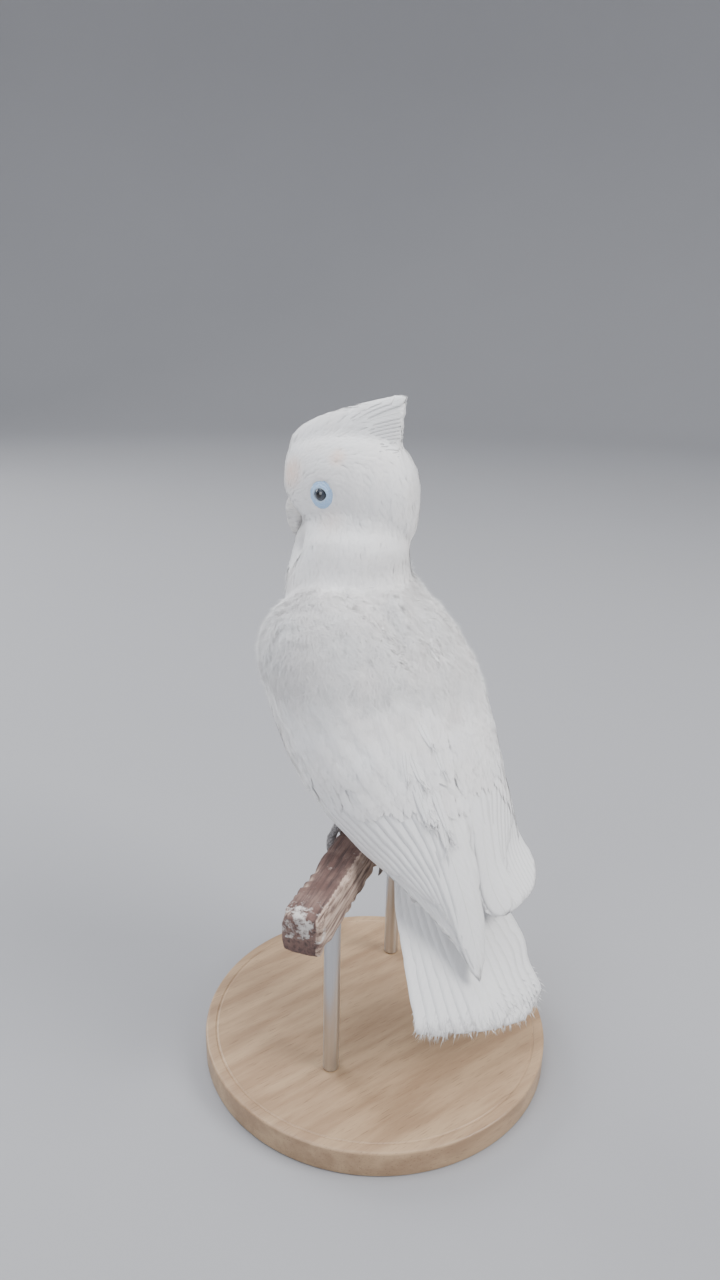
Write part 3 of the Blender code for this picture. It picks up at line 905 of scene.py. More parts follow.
def cubic(t):
    """Weights of four evenly spaced points for a smooth line through them."""
    s = np.asarray(t) * 3
    return np.stack([-(s - 1) * (s - 2) * (s - 3) / 6, s * (s - 2) * (s - 3) / 2,
                     -s * (s - 1) * (s - 3) / 2, s * (s - 1) * (s - 2) / 6], -1)


def blade(points, faces, start, end, lift, width, aspect, bend=0.0):
    """Adds one thin barb to a pattern: a tapering strip from start to end."""
    run = np.array((end[0] - start[0], (end[1] - start[1]) / aspect))
    across = np.array((-run[1], run[0])) / max(np.linalg.norm(run), 1e-9) * width
    across[1] *= aspect
    middle = ((start[0] + end[0]) / 2 + across[0] / max(width, 1e-9) * bend,
              (start[1] + end[1]) / 2 + across[1] / max(width, 1e-9) * bend)
    first = len(points)
    points += [(start[0] - across[0], start[1] - across[1], 0.0),
               (start[0] + across[0], start[1] + across[1], 0.0),
               (middle[0] - across[0] * 0.8, middle[1] - across[1] * 0.8, lift * 0.6),
               (middle[0] + across[0] * 0.8, middle[1] + across[1] * 0.8, lift * 0.6),
               (end[0], end[1], lift)]
    faces += [(first, first + 1, first + 3), (first, first + 3, first + 2),
              (first + 2, first + 3, first + 4)]


def down_pattern(rng, barbs, aspect):
    """A loose puff of barbs that fan out from a short quill."""
    points, faces = [], []
    for k in range(barbs):
        way = -1 + 2 * (k + rng.random()) / barbs
        root = rng.uniform(0.0, 0.3)
        tip = (way * rng.uniform(0.75, 1.15), min(1.0, root + rng.uniform(0.5, 0.8)))
        blade(points, faces, (way * 0.12, root), tip, 1.7 * rng.random() ** 3,
              rng.uniform(0.014, 0.024), aspect, rng.uniform(-0.2, 0.2))
    return np.array(points), np.array(faces)


def leaf_pattern(rng, barbs, aspect, teeth):
    """A closed vane with a soft, toothed end and a few loose barbs."""
    rows = ((0.0, 0.25, 0.0), (0.25, 0.8, 0.12), (0.55, 1.0, 0.2), (0.8, 0.86, 0.2))
    points, faces = [], []
    for along, half, ridge in rows:
        points += [(-half, along, 0.0), (0.0, along, ridge), (half, along, 0.0)]
    for row in range(3):
        k = row * 3
        faces += [(k, k + 1, k + 4), (k, k + 4, k + 3),
                  (k + 1, k + 2, k + 5), (k + 1, k + 5, k + 4)]
    for tooth in range(teeth):
        low, high = (-0.86 + 1.72 * (tooth + e) / teeth for e in (-0.08, 1.08))
        middle = (low + high) / 2
        first = len(points)
        peak = (middle * 0.85 + rng.uniform(-0.1, 0.1),
                1.0 - 0.14 * middle ** 2 + rng.uniform(-0.06, 0.04), rng.uniform(0.0, 0.35))
        points += [(low, 0.78, 0.02), (high, 0.78, 0.02), peak]
        faces.append((first, first + 1, first + 2))
    for k in range(barbs):
        hand = 1 if k % 2 else -1
        root = rng.uniform(0.05, 0.7)
        blade(points, faces, (hand * 0.6, root),
              (hand * rng.uniform(0.95, 1.3), root + rng.uniform(0.2, 0.32)),
              rng.uniform(0.1, 0.7), 0.06, aspect)
    return np.array(points), np.array(faces)


def plume_pattern(rng, barbs, aspect):
    """A small flat feather: a closed middle, and fine barbs all swept the same way."""
    points = [(-0.3, 0.0, 0.0), (0.3, 0.0, 0.0), (-0.6, 0.3, 0.03), (0.6, 0.3, 0.03),
              (-0.56, 0.66, 0.03), (0.56, 0.66, 0.03), (-0.14, 0.92, 0.03), (0.14, 0.92, 0.03)]
    faces = [(0, 1, 3), (0, 3, 2), (2, 3, 5), (2, 5, 4), (4, 5, 7), (4, 7, 6)]
    for k in rng.permutation(barbs):
        way = -1 + 2 * (k + rng.random()) / barbs
        root = rng.uniform(0.0, 0.35)
        tip = (way * 0.8 * rng.uniform(0.75, 1.1),
               min(1.05, 0.78 + 0.27 * rng.random() - 0.18 * way * way))
        blade(points, faces, (way * 0.45, root), tip, rng.uniform(0.0, 1.0),
              rng.uniform(0.10, 0.16), aspect, way * 0.12)
    return np.array(points), np.array(faces)


def kinds(pattern, seed, many, *options):
    """Several patterns of one kind, each with its own draws."""
    return [pattern(np.random.default_rng(seed + k), *options) for k in range(many)]


BAKE_PATCH = 0.003     # side of a small feather's patch in the bake layer


def unwrapped(place):
    """Each root's spot on the skin's shape, unrolled round an upright line."""
    middle = (place.min(0) + place.max(0)) / 2
    turn = np.arctan2(place[:, 0] - middle[0], place[:, 1] - middle[1]) / (2 * math.pi) + 0.5
    tall = place[:, 2] - place[:, 2].min()
    return np.stack([0.01 + 0.98 * turn, 0.01 + 0.98 * tall / max(tall.max(), 1e-6)], 1)


def tufted(name, roots, patterns, sizes, widths, heights, lift, material, blend=0.65, tilt=0.0,
           surface=None):
    """Joins one small feather at each root into a single mesh.

    Heights are those of four points along each feather, over the surface; lift scales the
    pattern's own relief; tilt spreads their directions; blend softens the shading.
    """
    place, normal, lie, rng = roots.place, roots.normal, roots.lie, roots.rng
    if tilt:
        turn = rng.normal(0, tilt, len(place))[:, None]
        lie = unit(lie * np.cos(turn) + np.cross(normal, lie) * np.sin(turn))
    line, side, upright = laid(place, normal, lie, sizes, heights, surface or Body.skin)
    which = rng.integers(0, len(patterns), len(place))
    bake = unwrapped(place)
    chunks = {"points": [], "faces": [], "lie": [], "bake": [], "tone": [], "normals": []}
    start = 0
    for index, (shape, faces) in enumerate(patterns):
        mine = np.where(which == index)[0]
        if not len(mine):
            continue
        weights = cubic(shape[:, 1])
        centre, across, up = (np.einsum("mj,kjc->kmc", weights, rows[mine])
                              for rows in (line, side, upright))
        across, up = unit(across), unit(up)
        out = shape[None, :, 0, None] * widths[mine][:, None, None]
        rise = shape[None, :, 2, None] * lift[mine][:, None, None]
        spot = centre + across * out + up * rise
        chunks["points"].append(spot.reshape(-1, 3))
        first = np.arange(len(mine))[:, None, None] * len(shape) + start
        chunks["faces"].append((faces[None] + first).reshape(-1, 3))
        flat = np.stack([shape[:, 0] * 0.5 + 0.5, shape[:, 1]], 1)
        chunks["lie"].append(np.tile(flat, (len(mine), 1)))
        patch = (flat - 0.5)[None] * BAKE_PATCH
        chunks["bake"].append((bake[mine][:, None] + patch).reshape(-1, 2))
        chunks["tone"].append(np.tile(shape[:, 1], len(mine)))
        soft = up + across * shape[None, :, 0, None] * 0.25
        chunks["normals"].append(soft.reshape(-1, 3))
        start += len(mine) * len(shape)
    joined = {key: np.concatenate(value) for key, value in chunks.items()}
    soft, faces = unit(joined["normals"]), joined["faces"]
    flat = flat_normals(joined["points"], faces)
    against = (flat * soft[faces].mean(1)).sum(1) < 0
    faces[against] = faces[against][:, ::-1]
    own = face_normals(joined["points"], faces)
    normals = unit(soft * blend + own * (1 - blend))
    piece = built(name, joined["points"], [faces], joined["lie"], joined["bake"], joined["tone"],
                  normals)
    dress(piece, material, "plumage")


def flat_normals(points, faces):
    """Normals of triangles, as long as twice their area."""
    a, b, c = (points[faces[:, k]] for k in range(3))
    return np.cross(b - a, c - a)


def face_normals(points, faces):
    """Normals at the points of a mesh of triangles."""
    flat = flat_normals(points, faces)
    total = np.zeros_like(points)
    for k in range(3):
        for axis in range(3):
            total[:, axis] += np.bincount(faces[:, k], flat[:, axis], len(points))
    return unit(total)


def away_from_eyes(limit):
    """True where the skin is clear of the bare rings."""
    clear = np.ones(len(Body.points), bool)
    for hand, _ in SIDES:
        low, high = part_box("eye_" + hand)
        middle = np.array((low + high) / 2)
        clear &= np.linalg.norm(Body.points - middle, axis=1) > limit
    return clear


# ------------------------------------------------------------------ long feathers


def slices(points, edges, levels):
    """Where the edges of a shape cross level heights."""
    found = []
    low, high = points[edges[:, 0]], points[edges[:, 1]]
    for level in levels:
        crossing = (low[:, 2] - level) * (high[:, 2] - level) < 0
        a, b = low[crossing], high[crossing]
        share = ((level - a[:, 2]) / (b[:, 2] - a[:, 2]))[:, None]
        found.append(a + (b - a) * share)
    return found


# The body's upright line: height, x and y.
AXIS = np.array([(45, -25, 42), (90, -16, 25), (120, -13, 18), (150, -10, 8), (180, -8, -10),
                 (210, -7, -27), (240, -7, -36), (300, -10, -45)]) * MM


def axis_at(height):
    return np.stack([np.interp(height, AXIS[:, 0], AXIS[:, k]) for k in (1, 2)], -1)


def unrolled_spot(height, turn):
    """Surface point and normal at a height and an angle round the body's upright line."""
    middle = axis_at(height)
    way = Vector((math.sin(turn), math.cos(turn), 0))
    hit, facing, _, _ = Body.bed.ray_cast(Vector((middle[0], middle[1], height)) + way * 0.15, -way)
    if hit is None:
        raise RuntimeError(f"nothing to lie on at height {height:.3f} and angle {turn:.2f}")
    return np.array(hit), np.array(facing)


def smooth_facing(facing):
    for _ in range(6):
        facing[1:-1] = unit(facing[:-2] + facing[1:-1] + facing[2:])
    return facing


class Wing:
    """The outer face of a wing, unrolled round the body's upright line."""

    def __init__(self, node, hand):
        self.hand = hand
        points, edges = node_points(node), edges_of(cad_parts[node].data)
        self.top, self.bottom = points[:, 2].max(), points[:, 2].min()
        self.levels = np.linspace(self.bottom + 1.5 * MM, self.top - 1.5 * MM, 40)
        turns = []
        for cut in slices(points, edges, self.levels):
            gap = cut[:, :2] - axis_at(cut[:, 2])
            turn = np.arctan2(gap[:, 0], gap[:, 1]) * hand
            turns.append((turn.min(), turn.max()))
        self.inner, self.outer = np.array(turns).T

    def spot(self, down, out):
        """Surface point and normal, down from the top and out from the inner edge, each 0 to 1."""
        height = self.top - down * (self.top - self.bottom)
        inner = np.interp(height, self.levels, self.inner)
        outer = np.interp(height, self.levels, self.outer)
        return unrolled_spot(height, (inner + (outer - inner) * out) * self.hand)


def smooth_line(points, rows):
    """Evenly spaced points on a smooth line near these."""
    points = np.asarray(points, float)
    for _ in range(3):
        points[1:-1] = points[1:-1] * 0.4 + (points[:-2] + points[2:]) * 0.3
    gaps = np.linalg.norm(np.diff(points, axis=0), axis=1)
    run = np.concatenate([[0], np.cumsum(gaps)])
    at = np.linspace(0, run[-1], rows)
    return np.stack([np.interp(at, run, points[:, k]) for k in range(3)], 1)


# Faces of a loose barb: three points at its root, three at its middle, and its tip.
BARB = ((0, 1, 4), (0, 4, 3), (1, 2, 5), (1, 5, 4), (2, 0, 3), (2, 3, 5), (3, 4, 6), (4, 5, 6),
        (5, 3, 6), (0, 2, 1))


def closed_vane(rows, columns, start):
    """Faces of a vane's upper side, its under side and the rim that joins them."""
    many = rows * columns
    grid = np.arange(many).reshape(rows, columns) + start
    a, b, c, d = (part.reshape(-1) for part in (grid[:-1, :-1], grid[:-1, 1:], grid[1:, 1:],
                                                grid[1:, :-1]))
    rim = np.concatenate([grid[0, :], grid[1:, -1], grid[-1, -2::-1], grid[-2:0:-1, 0]])
    following = np.roll(rim, -1)
    return [np.stack([a, b, c, d], -1), np.stack([a, d, c, b], -1) + many,
            np.stack([rim, rim + many, following + many, following], -1)]


class Quill:
    """Collects long feathers and makes them one mesh.

    A feather's options, in millimetres where they are lengths: tilt raises one edge, camber the
    middle, lift the tip, and sink lowers the root; thick is how thick the vane is; root is its
    width at the root as a share, and tip the share of its length that narrows; ragged nicks the
    edges and fray is how many barbs hang loose; wrap and hug lay one half or all of it close to
    the surface.
    """

    def __init__(self, name, seed, columns=8):
        self.name, self.columns = name, columns
        self.rng = np.random.default_rng(seed)
        self.points, self.quads, self.thins, self.lie, self.tone = [], [], [], [], []
        self.feather_of, self.count, self.total = [], 0, 0

    def add(self, line, facing, half, layer, tilt=0.0, camber=0.35, surface=None, thick=0.32,
            ragged=0.05, fray=0, tip=0.22, lift=0.0, root=0.35, sink=0.0, wrap=0, hug=False):
        """One feather: its centre line and which way that faces, half its width, and its height."""
        rows, columns = len(line), self.columns
        way = unit(np.gradient(line, axis=0))
        facing = unit(facing - way * (facing * way).sum(1, keepdims=True))
        side = np.cross(way, facing)
        along = np.linspace(0, 1, rows)
        across = np.linspace(-1, 1, columns)
        by_the_shaft = 1.9 / (columns - 1)
        grow = np.minimum(1.0, root + (1 - root) * (along / 0.22) ** 0.8)
        near_tip = np.clip((along - (1 - tip)) / tip, 0, 1)
        shape = grow * np.sqrt(np.clip(1 - near_tip ** 2.2, 0, 1))
        shape = np.maximum(shape, 0.05)
        jag = self.torn(along, ragged)
        top = np.empty((rows, columns, 3))
        order = sorted(range(columns), key=lambda j: abs(across[j]))
        for i in range(rows):
            normal = facing[i]
            bed, ups = np.empty((columns, 3)), np.tile(normal, (columns, 1))
            for j in order:
                u = across[j]
                wide = half * shape[i] * jag[i, 0 if u < 0 else 1]
                spot = line[i] + side[i] * u * wide
                inward = j + (1 if u < 0 else -1)
                aim = normal
                if hug or wrap * u > 0:
                    if abs(u) > by_the_shaft:
                        aside = unit(side[i] - ups[inward] * (side[i] @ ups[inward]))
                        spot = bed[inward] + aside * (u - across[inward]) * wide
                    near, up, _, gap = surface.find_nearest(Vector(spot))
                    if wrap * u > 0 or abs(u) < by_the_shaft or gap < 1.2 * MM:
                        spot, ups[j] = np.array(near), np.array(up)
                    else:
                        spot, ups[j] = spot - ups[inward] * 0.25 * MM, ups[inward]
                    aim = unit(normal + 2.0 * ups[j])
                elif surface is not None:
                    if abs(u) > by_the_shaft:
                        spot = spot + normal * (bed[inward] - line[i]) @ normal
                    start = Vector(spot + normal * 2.5 * MM)
                    hit = surface.ray_cast(start, -Vector(normal), 6 * MM)[0]
                    if hit is not None:
                        spot = np.array(hit)
                    elif abs(u) > by_the_shaft:
                        spot = spot - normal * 0.3 * MM
                bed[j] = spot
                rise = layer + camber * MM * (1 - u * u) * grow[i] + tilt * MM * u
                rise += lift * MM * along[i] ** 3 - sink * MM * (1 - along[i]) ** 4
                top[i, j] = spot + aim * rise
        for _ in range(2):
            soft = top.copy()
            soft[1:-1, 1:-1] = (top[1:-1, 1:-1] * 2 + top[:-2, 1:-1] + top[2:, 1:-1]
                                + top[1:-1, :-2] + top[1:-1, 2:]) / 6
            top = soft
        under = top - facing[:, None] * thick * MM
        self.quads += closed_vane(rows, columns, self.total)
        flat = np.broadcast_arrays((across * 0.5 + 0.5)[None, :], along[:, None])
        flat = np.stack(flat, -1).reshape(-1, 2)
        self.points += [top.reshape(-1, 3), under.reshape(-1, 3)]
        self.lie += [flat, flat]
        # The tone sets the painted root shade; the under side's tone is lower, a painted shade on
        # the under side.
        self.tone += [np.clip(flat[:, 1] * 1.6 + 0.1, 0, 1), np.clip(flat[:, 1] * 1.6, 0, 1) * 0.8]
        self.total += 2 * rows * columns
        extra = self.frayed(top, facing, side, way, fray) if fray else 0
        self.feather_of.append(np.full(2 * rows * columns + extra, self.count))
        self.count += 1

    def torn(self, along, ragged):
        """Nicks and unevenness of both edges, as shares of the width, down the feather."""
        rng, jag = self.rng, np.ones((len(along), 2))
        for hand in (0, 1):
            for _ in range(rng.integers(1, 4)):
                at = rng.uniform(0.35, 0.97)
                depth = rng.uniform(0.3, 1.6) * ragged
                jag[:, hand] -= depth * np.exp(-((along - at) / 0.018) ** 2)
            jag[:, hand] += rng.normal(0, ragged * 0.12, len(along))
        return jag

    def shift(self, move):
        """Moves all points made so far."""
        self.points = [move(points) for points in self.points]

    def frayed(self, top, facing, side, way, fray):
        """Loose barbs past the end and along the last part of both edges."""
        rng, rows, columns = self.rng, *top.shape[:2]
        added = 0
        for _ in range(fray):
            u = rng.uniform(-1, 1)
            edge = rng.random() < 0.35
            i = int(rows * (rng.uniform(0.8, 0.97) if edge else rng.uniform(0.88, 0.97)))
            j = (0 if u < 0 else columns - 1) if edge else int((u + 1) / 2 * (columns - 1))
            start = top[min(i, rows - 1), j]
            if edge:
                splay = rng.uniform(0.5, 0.9) * (1 if u > 0 else -1)
            else:
                splay = u * rng.uniform(0.3, 0.7)
            run = unit(way[i] + side[i] * splay + facing[i] * rng.normal(0, 0.12))
            size = rng.uniform(2.0, 6.5) * MM * (0.55 if edge else 1)
            wide = side[i] * rng.uniform(0.06, 0.13) * MM
            bend = facing[i] * rng.normal(0, 0.25) * MM
            middle = start + run * size * 0.5 + bend
            tip = start + run * size + bend * 2.4
            start = start - run * 1.5 * MM
            deep = facing[i] * 0.09 * MM
            self.points.append(np.array([
                start - wide, start + wide, start - deep * 2, middle - wide * 0.8,
                middle + wide * 0.8, middle - deep * 1.6, tip]))
            self.thins += [tuple(self.total + added + corner for corner in face) for face in BARB]
            self.lie.append(np.array([(u * 0.5 + 0.5, 0.97)] * 7))
            self.tone.append(np.ones(7))
            added += 7
        self.total += added
        return added

    def finish(self, material):
        points = np.concatenate(self.points)
        lie = np.concatenate(self.lie)
        owner = np.concatenate(self.feather_of)
        wide = math.ceil(math.sqrt(self.count * 2))
        tall = math.ceil(self.count / wide)
        corner = np.stack([(owner % wide) / wide, (owner // wide) / tall], 1)
        bake = corner + (lie * 0.94 + 0.03) / (wide, tall)
        faces = [np.concatenate(self.quads)]
        if self.thins:
            faces.append(np.array(self.thins))
        piece = built(self.name, points, faces, lie, bake, np.concatenate(self.tone))
        dress(piece, material, "plumage")


def traced(spot, start, end, steps):
    """Places and normals from start to end, where spot finds them from two coordinates."""
    found = [spot(*(a + (b - a) * t for a, b in zip(start, end)))
             for t in np.linspace(0, 1, steps)]
    return [np.array(values) for values in zip(*found)]


def wing_feather(quill, wing, start, end, half, layer, rows=22, **options):
    """Lays one feather on a wing from start to end, each (down, out)."""
    def spot(down, out):
        return wing.spot(min(down, 0.995), min(max(out, 0.01), 0.99))

    found, facings = traced(spot, start, end, rows + 4)
    facing = facings[np.linspace(0, rows + 3, rows).round().astype(int)]
    options.setdefault("hug", wing.hand < 0 or start[1] > 0.22)
    quill.add(smooth_line(found, rows), smooth_facing(facing), half, layer,
              surface=Body.bed, wrap=wing.hand, thick=0.1, **options)


def back_feather(quill, start, end, half, layer, rows=16, **options):
    """Lays one feather across back or wing from start to end, each (height, angle in degrees)."""
    def spot(height, turn):
        return unrolled_spot(height * MM, math.radians(turn))

    found, facings = traced(spot, start, end, rows)
    quill.add(smooth_line(found, rows), smooth_facing(facings), half, layer, **options)


def collar(points):
    """Height above the slanting line, higher in front, where the neck's feathers start."""
    return points[:, 2] - 0.249 - 0.05 * np.clip(-0.012 - points[:, 1], 0, 0.048)


def eased(values):
    """0 below 0 and 1 above 1, with a smooth ramp between."""
    values = np.clip(values, 0, 1)
    return values * values * (3 - 2 * values)


# Where one kind of feather ends and the next begins, in the world.
WING_FRONT, TRUNK_FRONT = -0.062, -0.045     # y of the front edge of folded wings and back
DOWN_END = 0.180                             # height of the lowest fluff
DOWN_PARTING, COVERT_PARTING = -0.006, -0.008     # x between left and right pieces

# ------------------------------------------------------------------ operators


class COCKATOO_OT_skin(bpy.types.Operator):
    """One skin under all the plumage, with the bare scaly feet"""
    bl_idname = "cockatoo.skin"
    bl_label = "Skin"

    def execute(self, context):
        make_skin()
        return {"FINISHED"}


class COCKATOO_OT_face(bpy.types.Operator):
    """Dense feathers from the bill's root over the head, longer towards the nape"""
    bl_idname = "cockatoo.face"
    bl_label = "Head feathers"

    def execute(self, context):
        sizes = settings("plumage")
        far = self.growth(Body.points)
        wave = ripples(Body.points, 140)
        clear = Body.part("head", "crest") | (collar(Body.points) + 0.003 * wave > 0)
        clear &= away_from_eyes(6.5 * MM)
        local = local_to_head(Body.points)
        clear &= ~((local[:, 2] > 28) & (local[:, 0] + wave * 9 < -3))
        for name, part, barbs, seed in (("face_feathers", far < 0.36, 9, 0),
                                        ("nape_feathers", far >= 0.34, 11, 2)):
            roots = spots(clear & part, (0.88 + 0.65 * far) * MM, sizes.seed + seed)
            grown = self.growth(roots.place)
            long = sizes.face * 0.75 + (sizes.neck - sizes.face) * grown ** 1.1
            long = long * roots.draw(0.85, 1.2)
            wide = long * (0.27 - 0.09 * grown)
            lift = (0.04 + 0.12 * grown) * roots.draw(0.6, 1.3) * MM
            patterns = kinds(plume_pattern, 40 + seed * 9, 10, barbs, 0.25)
            hood = np.clip((0.015 - collar(roots.place)) / 0.012, 0, 1) * (roots.y > -0.05)
            long *= 1 + 0.4 * hood
            high = (0.28 + 0.3 * grown + 0.9 * hood) * MM
            heights = (0.0, high * 0.8, high, high * roots.draw(0.45, 0.85))
            finish = plume_finish(name.replace("feathers", "plumage"), 0.85, 0.5)
            tufted(name, roots, patterns, long, wide, heights, lift, finish, tilt=0.2, blend=0.86)
        return {"FINISHED"}

    @staticmethod
    def growth(points):
        """0 at the bill's root and 1 at the lowest feathers of the nape."""
        gap = np.linalg.norm(local_to_head(points) - (20, 0, -4), axis=1)
        return np.clip((gap - 8) / 62, 0, 1)


class COCKATOO_OT_crest(bpy.types.Operator):
    """Long crest feathers that lie back in a peak"""
    bl_idname = "cockatoo.crest"
    bl_label = "Crest"

    def execute(self, context):
        sizes = settings("plumage")
        form, _ = surface_of(["head", "crest"])
        quill = Quill("crest_feathers", sizes.seed + 1, columns=6)
        rng = quill.rng
        for hand in (1, -1):
            for share in np.linspace(0, 1, 15):
                end = np.array((-33.5, 17 + 26.5 * share))
                if share > 0.8:
                    end = np.array((-33.5 + (share - 0.8) * 75, 43.2))
                begin = np.array((-4 + 16 * share, 17 + 8 * share)) + rng.normal(0, 0.5, 2)
                line, facing = [], []
                for t in np.linspace(0, 1, 18):
                    forward, up = begin + (end - begin) * t
                    up += 2.0 * math.sin(math.pi * t) * (0.3 + share)
                    line.append(np.array(self.side_hit(form, forward, up, hand)))
                    facing.append(np.array(HEAD_LEFT) * hand)
                quill.add(smooth_line(line, 18), np.array(facing), 3.3 * MM, -0.15 * MM,
                          tilt=0.14 * hand, camber=0.03, surface=form, thick=0.1,
                          ragged=0.01, tip=0.03, root=0.6, sink=1.2)
        self.trim(quill, form)
        quill.finish(vane_finish("crest_plumage", 0.5))
        return {"FINISHED"}

    @staticmethod
    def trim(quill, form):
        """Keeps the feathers inside the crest's side outline, with small steps behind."""
        def outline(starts, way, axis):
            """Where lines from these starts first meet the crest, by their number."""
            hits = [form.ray_cast(start, way)[0] for start in starts]
            return {i: local_to_head(np.array([hit]))[0, axis]
                    for i, hit in enumerate(hits) if hit is not None}

        places, heights = np.linspace(-40, 34, 149), np.linspace(8, 48, 81)
        above = outline([head_point(forward, 0, 90) for forward in places], -HEAD_UP, 2)
        behind = outline([head_point(-70, 0, up) for up in heights], HEAD_FORWARD, 0)
        backs = np.interp(heights, heights[list(behind)], list(behind.values()))
        tops = np.interp(places, places[list(above)], list(above.values()),
                         left=heights[list(behind)].max())
        for i, points in enumerate(quill.points):
            local = local_to_head(points)
            up = local[:, 2]
            notch = np.interp(up, (14, 24.0, 24.4, 29, 29.3, 34.6, 35.1, 40.2, 40.6, 46),
                              (0, 1.0, 0.2, 1.0, 0.3, 1.2, 0.3, 0.9, 0.2, 0.4))
            limit = np.interp(up, heights, backs) + 0.2 + notch
            limit = limit + np.clip((up - 18) / 26, 0, 1.1) * 2.8
            past = np.clip(limit - local[:, 0], 0, None)
            local[:, 0] += past * 0.95
            over = np.clip(up - np.interp(local[:, 0], places, tops) + 0.25, 0, None)
            local[:, 2] -= over * 0.95
            local[:, 1] *= np.where(over > 0, np.exp(-over * 0.35), 1)
            quill.points[i] = np.array(HEAD_CENTRE) + local @ HEAD_AXES * MM

    @staticmethod
    def side_hit(form, forward, up, hand):
        """The crest's flank at a place in the head's side view, or its mid plane past its edge."""
        flank = HEAD_LEFT * hand
        for drop in (0, 0.6, 1.2, 1.8, 2.6):
            origin = head_point(forward, 40 * hand, up - drop)
            hit = form.ray_cast(origin, -flank, 39.5 * MM)[0]
            if hit is not None:
                return hit + HEAD_UP * drop * MM
        return head_point(forward, 0.4 * hand, up)


class COCKATOO_OT_down(bpy.types.Operator):
    """Loose fluff of the mantle and both shoulders"""
    bl_idname = "cockatoo.down"
    bl_label = "Down"

    def execute(self, context):
        sizes = settings("plumage")
        x, y, z = Body.points.T
        wings = Body.part("wing_left", "wing_right")
        upper = wings & (y > WING_FRONT) | Body.part("trunk") & (y > TRUNK_FRONT)
        upper |= Body.part("neck")
        wave = ripples(Body.points, 90) * 0.012
        region = upper & (z + wave > DOWN_END) & (collar(Body.points) + 0.2 * wave < 0.003)
        gaps = 1.26 * MM / np.clip((z + wave - DOWN_END + 0.006) / 0.028, 0.3, 1)
        for name, part in (("left", x > DOWN_PARTING), ("right", x <= DOWN_PARTING)):
            roots = spots(region & part, gaps, sizes.seed + 3 + (name == "left"))
            fade = np.clip((roots.z - DOWN_END - 0.002) / 0.022, 0.35, 1)
            long = sizes.down * roots.draw(0.7, 1.25)
            patterns = kinds(down_pattern, 80, 10, 18, 0.5)
            throat = eased((-0.028 - roots.y) / 0.016) * eased((roots.z - 0.242) / 0.006)
            flatter = 1 - 0.6 * throat
            rise = (1.6 + fade * roots.draw(0.3, 2.0)) * MM * flatter
            heights = (0.0, rise * 0.55, rise * 0.9, rise)
            lift = flatter * fade * roots.draw(0.5, 1.7) * MM
            tufted("down_" + name, roots, patterns, long, long * 0.5, heights, lift,
                   plume_finish("down_" + name, 0.9, 0.3, 1.1), tilt=0.5, blend=0.96)
        return {"FINISHED"}


class COCKATOO_OT_body(bpy.types.Operator):
    """Feathers of breast, belly, flanks, thighs and rump"""
    bl_idname = "cockatoo.body"
    bl_label = "Body feathers"

    def execute(self, context):
        sizes = settings("plumage")
        z = Body.points[:, 2]
        body = Body.part("trunk", "thigh_left", "thigh_right")
        body |= Body.part("tail") & (z > 0.112)
        body &= ~((Body.points[:, 1] > TRUNK_FRONT) & (Body.normals[:, 1] > -0.2) & (z > 0.150))
        body &= z < 0.253
        roots = spots(body, 2.5 * MM, sizes.seed + 6)
        long = sizes.body * roots.draw(0.8, 1.15)
        patterns = kinds(leaf_pattern, 90, 8, 8, 0.35, 6)
        heights = (0.0, 1.0 * MM, 1.9 * MM, roots.draw(2.2, 3.0) * MM)
        lift = roots.draw(0.3, 0.8) * MM
        tufted("body_feathers", roots, patterns, long, long * 0.27, heights, lift,
               plume_finish("body_plumage", 0.85, 1.0), tilt=0.15, blend=0.7)
        wings = Body.part("wing_left", "wing_right") & (z < 0.215)
        wings &= Body.outward() < 0.1
        wings &= z > np.where(Body.labels == "wing_left", 0.092, 0.114)
        roots = spots(wings, 2.6 * MM, sizes.seed + 8)
        long = sizes.body * 1.1 * roots.draw(0.8, 1.15)
        heights = (0.0, 0.5 * MM, 0.8 * MM, roots.draw(0.8, 1.1) * MM)
        patterns = kinds(plume_pattern, 110, 8, 9, 0.3)
        tufted("wing_lining", roots, patterns, long, long * 0.24, heights,
               np.full(roots.count, 0.2 * MM), plume_finish("lining_plumage", 0.8, 1.0), tilt=0.1,
               blend=0.7)
        return {"FINISHED"}


# Innermost long feathers: start and end on the wing, each (down, out), and half width.
TERTIALS = (((0.50, 0.30), (0.975, 0.40), 5.5), ((0.46, 0.18), (0.96, 0.24), 6.5))


